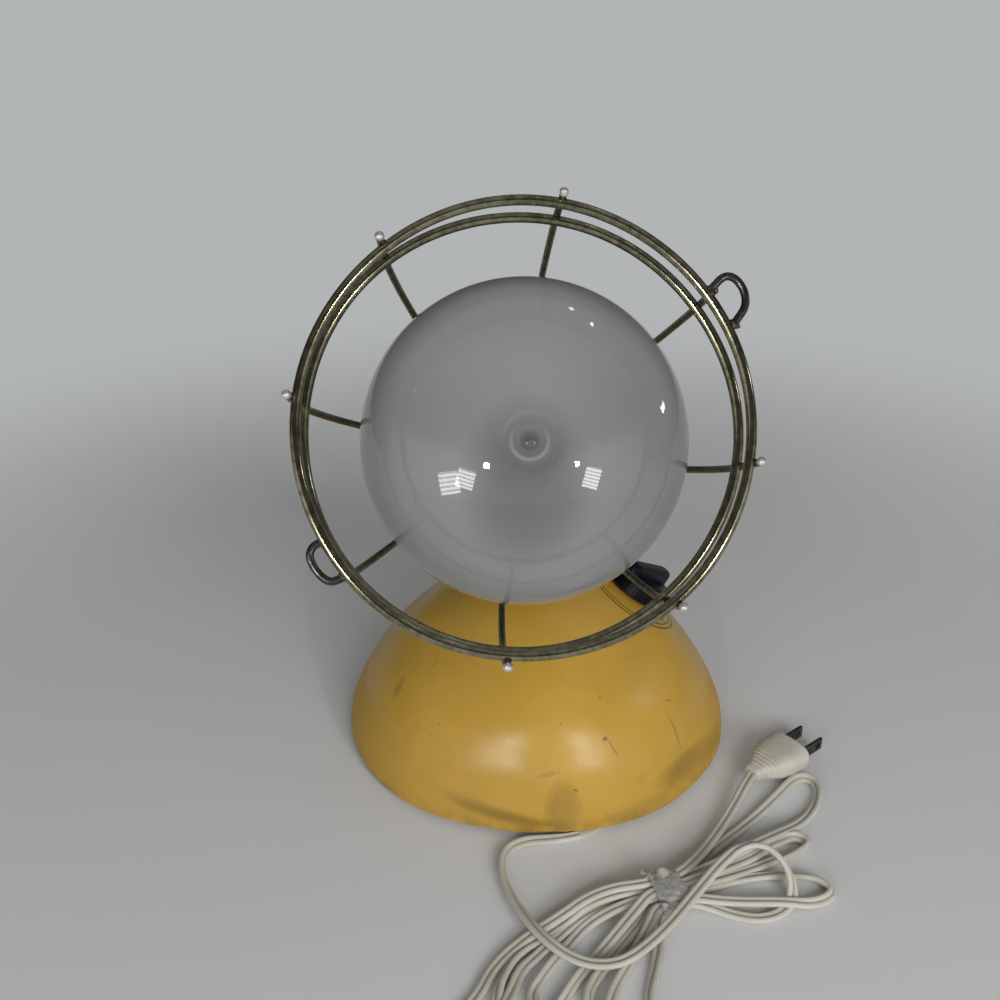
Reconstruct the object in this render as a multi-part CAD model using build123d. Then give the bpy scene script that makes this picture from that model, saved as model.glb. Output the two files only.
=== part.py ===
from build123d import *
from math import asin, atan2, cos, degrees, hypot, radians, sin, sqrt, tan
import os

# A table sun lamp. Millimetres, +Z up, the origin on the table under the middle of the dome.
# The head faces -Y, turned head_pan towards +X and raised by head_elevation in the stored pose.

# Domed base, pressed from steel sheet: three tangent arcs from the rim to the crown
rim_radius = 100.0
rim_lift = 3.2
shell_wall = 1.2
foot_arc_radius = 35.0
foot_arc_angle = 22.3
flank_arc_radius = 128.0
flank_arc_angle = 62.0
hem_width = 4.0

# Felt pad and ballast plate that close the base
pad_thickness = 3.0
pad_radius = 84.0
ballast_thickness = 8.0
ballast_gap = 0.4
recess_radius = 12.0
recess_depth = 5.0

# Threaded centre pipe, with the nuts that clamp the dome, the plate and the neck
neck_offset = -17.5
pipe_radius = 5.0
pipe_bore_radius = 3.4
pipe_hole_play = 0.25
thread_play = 0.05
nut_flats = 17.0
nut_thickness = 4.0
pipe_end_stand = 1.5
saddle_radius = 14.0
saddle_rise = 4.8
washer_thickness = 1.0
washer_radius = 11.0
inner_washer_depth = 5.0

# Turning yoke of the neck
tilt_height = 152.8
yoke_sheet = 2.2
yoke_inner_half = 24.2
yoke_bend_radius = 4.0
yoke_foot_width = 26.0
yoke_arm_width = 14.0
yoke_foot_height = 7.0
yoke_shoulder_drop = 12.0

# Tilt screws
screw_radius = 2.5
running_play = 0.05
screw_head_radius = 5.2
screw_head_height = 3.0
screw_slot_width = 1.1
screw_slot_depth = 1.2
screw_reach = 7.0
spring_washer_thickness = 0.9
spring_washer_radius = 4.6

# Lampholder, turned about the lamp axis; s runs forwards from the tilt axis
head_elevation = 28.0
head_pan = 3.5
holder_radius = 21.0
holder_back = -32.0
holder_lip_start = 22.0
holder_front = 31.0
holder_lip_radius = 24.0
holder_mouth_radius = 21.6
boss_radius = 6.5
boss_gap = 0.2
well_radius = 10.0
well_floor = -20.0
cap_depth = 7.0
cap_round = 4.0
cap_screw_radius = 1.75
cap_screw_pitch_radius = 14.0
cap_screw_head_radius = 3.2
cap_screw_head_height = 2.0
cap_screw_length = 9.0
cap_screw_end_room = 3.0

# Screw shell and centre contact of the lampholder
shell_back = -11.6
shell_front = 16.0
shell_inner_radius = 13.5
shell_sheet = 0.5
fit_play = 0.05
contact_rivet_radius = 2.5
contact_button_radius = 5.0
contact_button_thickness = 0.6

# Reflector bulb
bulb_radius = 63.5
bulb_widest = 126.5
bulb_tip_ahead = 38.0
bulb_shoulder_radius = 28.0
bulb_cone_angle = 38.0
bulb_neck_radius = 20.5
bulb_neck_fillet = 30.0
bulb_neck_end = 34.0
bulb_seal = 19.2
bulb_seal_radius = 12.4
glass_wall = 1.1
pip_radius = 4.2
pip_height = 0.8
cap_radius = 13.05
cap_back = -8.0
thread_pitch = 3.63
thread_depth = 0.45
thread_turns = 5
cap_insulator_back = -11.0
cap_insulator_radius = 8.0
cap_contact_back = -13.5
cap_contact_radius = 4.6

# Mount and burner inside the bulb
stem_radius = 8.0
stem_length = 26.0
arc_tube_radius = 7.0
arc_tube_length = 46.0
arc_tube_start = 62.0
support_wire_radius = 0.9
support_wire_offset = 5.0

# Wire cage
ring_radius = 79.6
ring_wire_radius = 1.75
front_ring_s = 173.0
rear_ring_s = 150.0
rib_wire_radius = 1.4
rib_tip_stand = 4.0
loop_rib_tip_stand = 1.0
rib_tip_ball_radius = 1.9
weld_gap = 0.05
rib_bend_s = 120.0
rib_bend_radius = 110.0
rib_heel_radius = 12.0
collar_back = 8.0
collar_front = 20.0
collar_sheet = 1.5
collar_gap = 0.15
rib_bearings = (34.9, 79.5, 126.4, 171.4, 218.3, 264.6, 310.1, 350.5)

# Finger loops, welded outside the front ring at two opposite ribs, whose tips they cover.
# Each: bearing of its rib leg, of its far corner and of its other leg, its reach, its corner radii.
loop_wire_radius = 1.45
loop_ribs = (0, 4)
finger_loops = (
    (35.4, 28.0, 25.0, 8.3, (3.0, 4.6)),
    (219.1, 209.6, 208.5, 5.4, (2.0, 2.2)),
)

# Interval timer behind the dome
timer_bearing = 11.0
timer_slope_angle = 55.3
timer_case_radius = 24.0
timer_case_depth = 20.0
timer_case_round = 3.0
timer_case_drop = 8.0
timer_plate_radius = 25.5
timer_plate_thickness = 1.2
bushing_radius = 4.8
bushing_stand = 3.2
timer_nut_flats = 14.0
timer_nut_thickness = 2.4
spindle_radius = 3.0
terminal_width = 6.3
terminal_thickness = 0.8
terminal_eye_radius = 0.9
terminal_length = 9.0
terminal_spacing = 16.0

# Timer knob
knob_lift = 1.0
knob_skirt_radius = 14.5
knob_top_radius = 12.8
knob_disc_height = 9.0
knob_height = 19.5
knob_grip_length = 25.0
knob_grip_width = 7.0
knob_grip_round = 2.6
knob_recess_radius = 9.6
knob_recess_depth = 5.0
knob_bore_depth = 13.0

# Flat two-core cord, its outlet bushing, and its hank on the table
cord_width = 5.6
cord_thickness = 2.8
outlet_x = 30.0
outlet_inset = 26.0
outlet_y = outlet_inset - rim_radius
outlet_block_width = 10.0
outlet_block_depth = 9.0
outlet_stem_radius = 4.5
outlet_head_radius = 6.0
outlet_head_thickness = 1.6
pad_slot_width = 14.0
cord_route = (
    (outlet_x, outlet_y - outlet_block_depth / 2),
    (29.5, -88.5),
    (21.5, -97.0),
    (7.5, -100.5),
    (-6.0, -102.0),
    (-14.5, -108.5),
    (-16.5, -120.0),
    (-13.5, -133.0),
    (-7.5, -146.0),
    (0.0, -157.0),
)
hank_height = 11.0
hank_edge_round = 4.0
hank_outline = (
    (46.2, -132.7),
    (27.0, -136.5),
    (9.0, -149.0),
    (-12.0, -163.0),
    (-25.0, -180.0),
    (-31.0, -196.0),
    (-42.0, -212.0),
    (-42.0, -224.0),
    (-33.0, -232.0),
    (-16.0, -231.0),
    (14.0, -232.0),
    (40.0, -231.0),
    (51.0, -221.0),
    (52.0, -198.0),
    (55.0, -172.0),
    (53.0, -149.3),
    (67.8, -143.3),
    (82.0, -150.0),
    (98.0, -152.0),
    (122.0, -147.0),
    (136.0, -139.0),
    (137.0, -129.0),
    (120.0, -114.0),
    (134.0, -100.0),
    (135.0, -88.0),
    (144.0, -68.0),
    (138.0, -55.0),
    (124.0, -63.0),
    (100.0, -84.0),
    (76.0, -104.0),
    (66.0, -118.0),
    (61.0, -126.7),
)
hank_corner_round = 5.0
tie_point = (57.0, -138.0)
tie_bearing = 22.0
tie_length = 12.0
tie_sheet = 1.2
tie_span = 19.0
tie_tail_radius = 0.8
tie_tail_length = 12.0

# Moulded plug with two flat blades
plug_back = (107.0, -58.0)
plug_bearing = 40.0
plug_length = 31.0
plug_front_width = 25.0
plug_front_height = 15.0
plug_back_width = 10.0
plug_back_height = 8.0
plug_round = 3.0
plug_shoulder = 13.0
plug_rest = 0.2
blade_length = 17.0
blade_width = 6.4
blade_thickness = 1.5
blade_spacing = 12.7
blade_hole_radius = 1.6
blade_hole_setback = 4.0
plug_cord_start = (90.0, -97.0, 6.5)

neck_place = Pos(neck_offset, 0, 0) * Rot(0, 0, head_pan)
head_place = neck_place * Pos(0, 0, tilt_height) * Rot(90 - head_elevation, 0, 0)
solids = {}


def turned(edges):
    """Revolves a closed outline, drawn as radius across and height up, about the Z axis."""
    return revolve(Plane.XZ * make_face(edges), Axis.Z)


def ring_solid(outer, inner, low, high):
    """A plain washer or sleeve about the Z axis."""
    height = high - low
    body = Cylinder(outer, height) - Cylinder(inner, height + 1)
    return Pos(0, 0, (low + high) / 2) * body


def hex_nut(flats, bore, low, high):
    """A hexagon nut about the Z axis, with its corners turned off at both faces."""
    height = high - low
    chamfer_run = 0.8
    corner = flats / sqrt(3)
    blank = extrude(RegularPolygon(flats / 2, 6, major_radius=False), height / 2, both=True)
    barrel = Cylinder(corner, height)
    barrel = chamfer(barrel.edges().filter_by(GeomType.CIRCLE), chamfer_run * 0.6)
    nut = (blank & barrel) - Cylinder(bore, height + 1)
    return Pos(0, 0, (low + high) / 2) * nut


def dome_centres():
    """Centres of the foot, flank and crown arcs, as radius and height, and the crown's radius."""
    foot = (rim_radius - foot_arc_radius, rim_lift)
    step = flank_arc_radius - foot_arc_radius
    foot_angle = radians(foot_arc_angle)
    flank = (foot[0] - step * cos(foot_angle), foot[1] - step * sin(foot_angle))
    flank_angle = radians(flank_arc_angle)
    crown_radius = flank[0] / cos(flank_angle) + flank_arc_radius
    crown = (0.0, flank[1] + (flank_arc_radius - crown_radius) * sin(flank_angle))
    return foot, flank, crown, crown_radius


def dome_arcs(inset, start_angle=0.0):
    """The three arcs of the dome's section, moved inwards by inset."""
    foot, flank, crown, crown_radius = dome_centres()
    return [
        CenterArc(foot, foot_arc_radius - inset, start_angle, foot_arc_angle - start_angle),
        CenterArc(flank, flank_arc_radius - inset, foot_arc_angle, flank_arc_angle - foot_arc_angle),
        CenterArc(crown, crown_radius - inset, flank_arc_angle, 90 - flank_arc_angle),
    ]


def dome_height(radius, inset=0.0):
    """Height of the crown's surface at a distance from the dome's axis."""
    crown, crown_radius = dome_centres()[2:]
    return crown[1] + sqrt((crown_radius - inset) ** 2 - radius**2)


def dome_block(inset):
    """The solid volume under the dome's surface, moved inwards by inset."""
    arcs = dome_arcs(inset)
    base = Line((0, rim_lift), arcs[0] @ 0)
    axis = Line(arcs[2] @ 1, (0, rim_lift))
    return turned([base, *arcs, axis])


def timer_place(offset=0.0):
    """Location on the dome where the timer's axis leaves it, with Z along the outward normal."""
    flank = dome_centres()[1]
    slope = radians(timer_slope_angle)
    reach = flank[0] + (flank_arc_radius + offset) * cos(slope)
    height = flank[1] + (flank_arc_radius + offset) * sin(slope)
    return Rot(0, 0, timer_bearing) * Pos(reach, 0, height) * Rot(0, 90 - timer_slope_angle, 0)


def base_shell():
    """Domed steel shell with an inward hem, a pipe hole and a timer hole."""
    outer = dome_arcs(0)
    hem_angle = degrees(asin(shell_wall / (foot_arc_radius - shell_wall)))
    inner = dome_arcs(shell_wall, hem_angle)
    hem_end = rim_radius - hem_width
    crown = Line(outer[2] @ 1, inner[2] @ 1)
    hem = Polyline(inner[0] @ 0, (hem_end, rim_lift + shell_wall), (hem_end, rim_lift), outer[0] @ 0)
    shell = turned([*outer, crown, *inner, hem])
    pipe_hole = Pos(neck_offset, 0, dome_height(0)) * Cylinder(pipe_radius + pipe_hole_play, saddle_radius)
    timer_hole = timer_place() * Cylinder(bushing_radius + pipe_hole_play, timer_case_drop)
    return shell - pipe_hole - timer_hole


def ballast_plate():
    """Heavy round plate that closes the dome, recessed below for the pipe's nut."""
    low, high = pad_thickness, pad_thickness + ballast_thickness
    radius = rim_radius - hem_width - ballast_gap
    plate = Pos(0, 0, (low + high) / 2) * Cylinder(radius, ballast_thickness)
    plate = chamfer(plate.edges().group_by(Axis.Z)[-1], shell_wall)
    recess = Pos(neck_offset, 0, low + recess_depth / 2) * Cylinder(recess_radius, recess_depth)
    pipe_hole = Pos(neck_offset, 0, high) * Cylinder(pipe_radius + pipe_hole_play, 2 * ballast_thickness)
    outlet_hole = Pos(outlet_x, outlet_y, low) * Cylinder(outlet_stem_radius + fit_play, 3 * ballast_thickness)
    return plate - recess - pipe_hole - outlet_hole


def felt_pad():
    """Felt disc that the lamp stands on, slotted where the cord leaves."""
    pad = Pos(0, 0, pad_thickness / 2) * Cylinder(pad_radius, pad_thickness)
    slot_start = outlet_y + outlet_block_depth
    slot_length = pad_radius
    slot = Pos(outlet_x, slot_start - slot_length / 2, 0) * Box(pad_slot_width, slot_length, 3 * pad_thickness)
    return pad - slot


def cord_outlet_bushing():
    """Moulded bushing that turns the cord out flat under the rim, snapped into the plate."""
    play = 0.2
    block_height = pad_thickness - play
    block = Pos(outlet_x, outlet_y, play + block_height / 2) * Box(
        outlet_block_width, outlet_block_depth, block_height
    )
    block = fillet(block.edges().filter_by(Axis.Z), 1.2)
    plate_top = pad_thickness + ballast_thickness
    stem_height = plate_top - pad_thickness + outlet_head_thickness
    stem = Pos(outlet_x, outlet_y, pad_thickness + stem_height / 2) * Cylinder(outlet_stem_radius, stem_height)
    head = Pos(outlet_x, outlet_y, plate_top + outlet_head_thickness / 2) * Cylinder(
        outlet_head_radius, outlet_head_thickness
    )
    return block + stem + head


def neck_heights():
    """Heights of the stack on the dome, from the saddle's top to the pipe's end."""
    saddle_top = dome_height(0) + saddle_rise
    yoke_low = saddle_top + washer_thickness
    yoke_high = yoke_low + yoke_sheet
    nut_low = yoke_high + washer_thickness
    nut_high = nut_low + nut_thickness
    return saddle_top, yoke_low, yoke_high, nut_low, nut_high


def pipe_low():
    """Lower end of the centre pipe, inside the plate's recess."""
    return pad_thickness + recess_depth - nut_thickness - 0.5


def centre_pipe():
    """Hollow threaded pipe from the plate to the yoke, chamfered at both ends."""
    high = neck_heights()[4] + pipe_end_stand
    low = pipe_low()
    pipe = Pos(0, 0, (low + high) / 2) * Cylinder(pipe_radius, high - low)
    pipe = chamfer(pipe.edges().filter_by(GeomType.CIRCLE), 0.6)
    bore = Pos(0, 0, (low + high) / 2) * Cylinder(pipe_bore_radius, high - low + 2)
    return Pos(neck_offset, 0, 0) * (pipe - bore)


def pipe_nuts():
    """Nuts under and over the ballast plate and under the dome."""
    bore = pipe_radius + thread_play
    plate_low = pad_thickness + recess_depth
    plate_high = pad_thickness + ballast_thickness
    dome_low = dome_height(abs(neck_offset) + washer_radius, shell_wall) - inner_washer_depth / 2
    lows = (plate_low - nut_thickness, plate_high, dome_low - nut_thickness)
    nuts = [hex_nut(nut_flats, bore, low, low + nut_thickness) for low in lows]
    return [Pos(neck_offset, 0, 0) * nut for nut in nuts]


def inner_saddle():
    """Cupped washer that fits the inside of the dome around the pipe."""
    low = dome_height(abs(neck_offset) + washer_radius, shell_wall) - inner_washer_depth / 2
    washer = ring_solid(washer_radius, pipe_radius + pipe_hole_play, low, low + 3 * inner_washer_depth)
    return (Pos(neck_offset, 0, 0) * washer) & dome_block(shell_wall)


def outer_saddle():
    """Turned seat that fits the dome below and carries the yoke on its flat top."""
    top = neck_heights()[0]
    low = top - 3 * saddle_rise
    saddle = ring_solid(saddle_radius, pipe_radius + pipe_hole_play, low, top)
    rim = saddle.edges().group_by(Axis.Z)[-1].sort_by(SortBy.LENGTH)[-1]
    saddle = fillet(rim, 2.0)
    return (Pos(neck_offset, 0, 0) * saddle) - dome_block(0)


def neck_washers():
    """Flat washers under and over the yoke's foot."""
    saddle_top, yoke_low, yoke_high, nut_low, _ = neck_heights()
    bore = pipe_radius + pipe_hole_play
    pairs = ((saddle_top, yoke_low), (yoke_high, nut_low))
    return [Pos(neck_offset, 0, 0) * ring_solid(washer_radius, bore, low, high) for low, high in pairs]


def neck_nut():
    """Nut that holds the yoke down on the pipe."""
    low, high = neck_heights()[3:]
    return Pos(neck_offset, 0, 0) * hex_nut(nut_flats, pipe_radius + thread_play, low, high)


def neck_yoke():
    """U-shaped bracket, bent from sheet, tapered from its foot to the rounded arm ends."""
    low = neck_heights()[1]
    outer_half = yoke_inner_half + yoke_sheet
    top = tilt_height + yoke_arm_width
    outer = Polyline((-outer_half, top), (-outer_half, low), (outer_half, low), (outer_half, top), close=True)
    inner = Polyline(
        (-yoke_inner_half, top + 1),
        (-yoke_inner_half, low + yoke_sheet),
        (yoke_inner_half, low + yoke_sheet),
        (yoke_inner_half, top + 1),
        close=True,
    )
    outer_face = make_face(outer)
    outer_face = fillet(outer_face.vertices().group_by(Axis.Y)[0], yoke_bend_radius + yoke_sheet)
    inner_face = make_face(inner)
    inner_face = fillet(inner_face.vertices().group_by(Axis.Y)[0], yoke_bend_radius)
    strip = extrude(Plane.XZ * (outer_face - inner_face), yoke_foot_width, both=True)
    half_foot, half_arm = yoke_foot_width / 2, yoke_arm_width / 2
    shoulder = tilt_height - yoke_shoulder_drop
    flank = Polyline(
        (-half_foot, low - 1),
        (-half_foot, low + yoke_foot_height),
        (-half_arm, shoulder),
        (-half_arm, tilt_height),
        (half_arm, tilt_height),
        (half_arm, shoulder),
        (half_foot, low + yoke_foot_height),
        (half_foot, low - 1),
        close=True,
    )
    side = make_face(flank) + Pos(0, tilt_height) * Circle(half_arm)
    blank = extrude(Plane.YZ * side, 2 * outer_half, both=True)
    ear_holes = Pos(0, 0, tilt_height) * Rot(0, 90, 0) * Cylinder(screw_radius + running_play, 4 * outer_half)
    foot_hole = Pos(0, 0, low) * Cylinder(pipe_radius + running_play, 4 * yoke_sheet)
    return neck_place * ((strip & blank) - ear_holes - foot_hole)


def tilt_screws():
    """Two domed slotted screws through the yoke's ears into the lampholder's bosses."""
    inner_end = yoke_inner_half - boss_gap - screw_reach
    head_seat = yoke_inner_half + yoke_sheet + spring_washer_thickness
    shank_length = head_seat - inner_end
    shank = Pos(0, 0, (inner_end + head_seat) / 2) * Cylinder(screw_radius, shank_length)
    head = Pos(0, 0, head_seat + screw_head_height / 2) * Cylinder(screw_head_radius, screw_head_height)
    head = fillet(head.edges().group_by(Axis.Z)[-1], screw_head_height * 0.8)
    slot_height = head_seat + screw_head_height - screw_slot_depth / 2
    slot = Pos(0, 0, slot_height) * Box(3 * screw_head_radius, screw_slot_width, screw_slot_depth)
    screw = shank + head - slot
    return [head_place * Rot(0, 90 * side, 0) * screw for side in (1, -1)]


def spring_washers():
    """Washers between the yoke's ears and the heads of the tilt screws."""
    low = yoke_inner_half + yoke_sheet
    washer = ring_solid(spring_washer_radius, screw_radius + fit_play, low, low + spring_washer_thickness)
    return [head_place * Rot(0, 90 * side, 0) * washer for side in (1, -1)]


def lampholder_body():
    """Moulded lampholder with two side bosses, a flared mouth and a stepped well."""
    seat_radius = shell_inner_radius + shell_sheet + fit_play
    outline = Polyline(
        (contact_rivet_radius + fit_play, holder_back),
        (holder_radius, holder_back),
        (holder_radius, holder_lip_start),
        (holder_lip_radius, holder_front),
        (holder_mouth_radius, holder_front),
        (seat_radius, shell_front + 1),
        (seat_radius, shell_back),
        (well_radius, shell_back),
        (well_radius, well_floor),
        (contact_rivet_radius + fit_play, well_floor),
        close=True,
    )
    body = turned(outline)
    boss_end = yoke_inner_half - boss_gap
    boss_start = seat_radius + 2
    boss = Pos(0, 0, (boss_start + boss_end) / 2) * Cylinder(boss_radius, boss_end - boss_start)
    hole_depth = screw_reach + 1
    hole = Pos(0, 0, boss_end - hole_depth / 2) * Cylinder(screw_radius + fit_play, hole_depth)
    for side in (1, -1):
        turn = Rot(0, 90 * side, 0)
        body = body + turn * boss - turn * hole
    for x in (-cap_screw_pitch_radius, cap_screw_pitch_radius):
        depth = cap_screw_length - cap_depth + cap_screw_end_room
        body = body - Pos(x, 0, holder_back + depth / 2) * Cylinder(cap_screw_radius + fit_play, depth)
    return head_place * body


def lampholder_cap():
    """Rounded back cover of the lampholder."""
    cap = Pos(0, 0, holder_back - cap_depth / 2) * Cylinder(holder_radius, cap_depth)
    cap = fillet(cap.edges().group_by(Axis.Z)[0], cap_round)
    for x in (-cap_screw_pitch_radius, cap_screw_pitch_radius):
        cap = cap - Pos(x, 0, holder_back - cap_depth / 2) * Cylinder(cap_screw_radius + fit_play, 2 * cap_depth)
        sink_depth = cap_screw_head_height
        sink = Cylinder(cap_screw_head_radius + fit_play, 2 * sink_depth)
        cap = cap - Pos(x, 0, holder_back - cap_depth) * sink
    return head_place * cap


def cap_screws():
    """Two screws that hold the back cover."""
    head_low = holder_back - cap_depth
    head_high = head_low + cap_screw_head_height
    shank_high = head_low + cap_screw_length
    head = Pos(0, 0, (head_low + head_high) / 2) * Cylinder(cap_screw_head_radius, cap_screw_head_height)
    shank = Pos(0, 0, (head_high + shank_high) / 2) * Cylinder(cap_screw_radius, shank_high - head_high)
    slot = Pos(0, 0, head_low) * Box(3 * cap_screw_head_radius, screw_slot_width, screw_slot_depth)
    screw = head + shank - slot
    return [head_place * Pos(x, 0, 0) * screw for x in (-cap_screw_pitch_radius, cap_screw_pitch_radius)]


def holder_screw_shell():
    """Brass shell that the bulb's cap screws into."""
    outer = shell_inner_radius + shell_sheet
    sleeve = ring_solid(outer, shell_inner_radius, shell_back, shell_front)
    floor = ring_solid(outer, well_radius, shell_back, shell_back + shell_sheet)
    return head_place * (sleeve + floor)


def centre_contact():
    """Riveted contact button at the bottom of the lampholder's well."""
    top = cap_contact_back - fit_play
    button = Pos(0, 0, top - contact_button_thickness / 2) * Cylinder(
        contact_button_radius, contact_button_thickness
    )
    rivet = Pos(0, 0, (top + holder_back) / 2) * Cylinder(contact_rivet_radius, top - holder_back)
    return head_place * (button + rivet)


def bulb_outline(inset):
    """Section of the glass, moved inwards by inset: face, shoulder, cone, neck and seal."""
    shoulder = bulb_shoulder_radius - inset
    shoulder_centre = (bulb_radius - bulb_shoulder_radius, bulb_widest)
    across = bulb_radius - bulb_shoulder_radius
    ahead = bulb_tip_ahead - bulb_shoulder_radius
    face_radius = (across**2 / ahead + bulb_shoulder_radius + bulb_tip_ahead) / 2
    face_centre = (0.0, bulb_widest + bulb_tip_ahead - face_radius)
    face_angle = degrees(atan2(bulb_widest - face_centre[1], across))
    cone = radians(bulb_cone_angle)
    neck_axis = bulb_neck_radius + bulb_neck_fillet
    reach = (shoulder_centre[0] - neck_axis) * cos(cone) + bulb_shoulder_radius + bulb_neck_fillet
    neck_centre = (neck_axis, bulb_widest - reach / sin(cone))
    face = CenterArc(face_centre, face_radius - inset, 90, face_angle - 90)
    side = CenterArc(shoulder_centre, shoulder, face_angle, -face_angle - bulb_cone_angle)
    throat = CenterArc(neck_centre, bulb_neck_fillet + inset, 180 - bulb_cone_angle, bulb_cone_angle)
    flank = Line(side @ 1, throat @ 0)
    neck_foot = (bulb_neck_radius - inset, bulb_neck_end)
    seal_corner = (bulb_seal_radius - inset, bulb_seal + inset)
    foot = Polyline(throat @ 1, neck_foot, seal_corner, (0, bulb_seal + inset))
    axis = Line((0, bulb_seal + inset), face @ 0)
    return [face, side, flank, throat, foot, axis]


def bulb_glass():
    """Thin reflector envelope with a small pressed pip in the middle of its face."""
    face_s = bulb_widest + bulb_tip_ahead
    pip = Pos(0, 0, face_s) * Cylinder(pip_radius, 2 * pip_height)
    pip = chamfer(pip.edges().group_by(Axis.Z)[-1], pip_height * 0.6)
    dimple = Pos(0, 0, face_s + pip_height) * Cylinder(pip_radius * 0.5, pip_height)
    glass = turned(bulb_outline(0)) + pip - dimple - turned(bulb_outline(glass_wall))
    return head_place * glass


def bulb_stem():
    """Glass stem that carries the burner, inside the neck."""
    low = bulb_seal + glass_wall
    stem = Pos(0, 0, low + stem_length / 2) * Cylinder(stem_radius, stem_length)
    return head_place * fillet(stem.edges().group_by(Axis.Z)[-1], stem_radius * 0.7)


def arc_tube():
    """Quartz burner with rounded ends on the lamp axis."""
    tube = Pos(0, 0, arc_tube_start + arc_tube_length / 2) * Cylinder(arc_tube_radius, arc_tube_length)
    return head_place * fillet(tube.edges().filter_by(GeomType.CIRCLE), arc_tube_radius * 0.9)


def support_wires():
    """Two wires that stand on the stem and hold the burner."""
    low = bulb_seal + glass_wall + stem_length - stem_radius * 0.35
    high = arc_tube_start + arc_tube_radius * 0.5
    wire = Pos(0, 0, (low + high) / 2) * Cylinder(support_wire_radius, high - low)
    wires = [head_place * Pos(x, 0, 0) * wire for x in (-support_wire_offset, support_wire_offset)]
    return [w - solids["bulb_stem"] - solids["arc_tube"] for w in wires]


def bulb_screw_cap():
    """Rolled screw cap of the bulb: rounded crests at the thread's pitch, closed below."""
    crest = thread_pitch / 2
    first = cap_back + crest
    blank = ring_solid(cap_radius - thread_depth, bulb_seal_radius - 1, cap_back, bulb_seal)
    for turn in range(thread_turns):
        centre = first + crest / 2 + turn * thread_pitch
        bulge = (crest**2 / 4 + thread_depth**2) / (2 * thread_depth)
        arc = CenterArc(
            (cap_radius - bulge, centre),
            bulge,
            -degrees(asin(crest / 2 / bulge)),
            2 * degrees(asin(crest / 2 / bulge)),
        )
        back = Polyline(arc @ 1, (cap_radius - 2 * thread_depth, (arc @ 1).Y),
                        (cap_radius - 2 * thread_depth, (arc @ 0).Y), arc @ 0)
        blank = blank + turned([arc, back])
    return head_place * blank


def bulb_insulator():
    """Glass insulator in the bottom of the bulb's cap."""
    cone = Polyline(
        (0, cap_insulator_back),
        (cap_insulator_radius, cap_insulator_back),
        (cap_radius - thread_depth, cap_back),
        (0, cap_back),
        close=True,
    )
    return head_place * turned(cone)


def bulb_contact():
    """Soldered contact at the bottom of the bulb."""
    height = cap_insulator_back - cap_contact_back
    contact = Pos(0, 0, (cap_insulator_back + cap_contact_back) / 2) * Cylinder(cap_contact_radius, height)
    return head_place * fillet(contact.edges().group_by(Axis.Z)[0], height * 0.6)


def rib_line_radius():
    """Distance of the ribs' centre line from the lamp axis, outside both rings."""
    return ring_radius + ring_wire_radius + rib_wire_radius + weld_gap


def cage_rib(bearing, tip_stand, tip_radius):
    """One rib: from its rounded tip past both rings, curving in to the collar."""
    outer = rib_line_radius()
    inner = holder_radius + collar_gap + collar_sheet + rib_wire_radius + weld_gap
    tip = front_ring_s + tip_stand
    path = FilletPolyline(
        (outer, tip),
        (outer, rib_bend_s),
        (inner, collar_front - 1),
        (inner, collar_back + 1),
        radius=[rib_bend_radius, rib_heel_radius],
    )
    path = Plane.XZ * path
    start = Plane(origin=path @ 0, z_dir=path % 0)
    rib = sweep(start * Circle(rib_wire_radius), path)
    ball = Pos(outer, 0, tip) * Sphere(tip_radius)
    return head_place * Rot(0, 0, bearing) * (rib + ball)


def cage_ring(s):
    """One welded wire ring inside the ribs."""
    return head_place * Pos(0, 0, s) * Torus(ring_radius, ring_wire_radius)


def cage_collar():
    """Band round the lampholder that the ribs' rear ends are welded to."""
    inner = holder_radius + collar_gap
    band = ring_solid(inner + collar_sheet, inner, collar_back, collar_front)
    return head_place * band


def finger_loop(rib_leg, far_corner, ring_leg, reach, corner_radii):
    """D-shaped wire loop in the front ring's plane, standing out from the ring by reach."""
    ring_edge = ring_radius + ring_wire_radius + weld_gap
    rib_edge = rib_line_radius() + rib_wire_radius + weld_gap
    crest = ring_edge + reach

    def spot(radius, angle):
        return (radius * cos(radians(angle)), radius * sin(radians(angle)))

    path = FilletPolyline(
        spot(rib_edge, rib_leg),
        spot(crest, rib_leg),
        spot(crest, far_corner),
        spot(ring_edge, ring_leg),
        radius=list(corner_radii),
    )
    start = Plane(origin=path @ 0, z_dir=path % 0)
    loop = sweep(start * Circle(loop_wire_radius), path)
    ring_room = Torus(ring_radius, ring_wire_radius + weld_gap)
    return head_place * Pos(0, 0, front_ring_s) * (loop - ring_room)


def timer_case():
    """Drawn can of the clockwork."""
    low = -timer_case_drop - timer_plate_thickness - timer_case_depth
    case = Pos(0, 0, low + timer_case_depth / 2) * Cylinder(timer_case_radius, timer_case_depth)
    return timer_place() * fillet(case.edges().group_by(Axis.Z)[0], timer_case_round)


def timer_plate():
    """Front plate that closes the can and carries the bushing."""
    low = -timer_case_drop - timer_plate_thickness
    plate = ring_solid(timer_plate_radius, spindle_radius + running_play, low, -timer_case_drop)
    return timer_place() * plate


def timer_bushing():
    """Threaded bushing from the timer's plate out through the dome."""
    bore = spindle_radius + running_play
    return timer_place() * ring_solid(bushing_radius, bore, -timer_case_drop, bushing_stand)


def timer_nut():
    """Nut that clamps the timer to the dome, under the knob."""
    low = running_play
    nut = hex_nut(timer_nut_flats, bushing_radius + thread_play, low, low + timer_nut_thickness)
    return timer_place() * nut


def timer_jam_nut():
    """Nut on the bushing inside the dome, against its wall."""
    high = -shell_wall - 0.35
    low = high - timer_nut_thickness
    nut = hex_nut(timer_nut_flats, bushing_radius + thread_play, low, high)
    return timer_place() * nut


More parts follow.
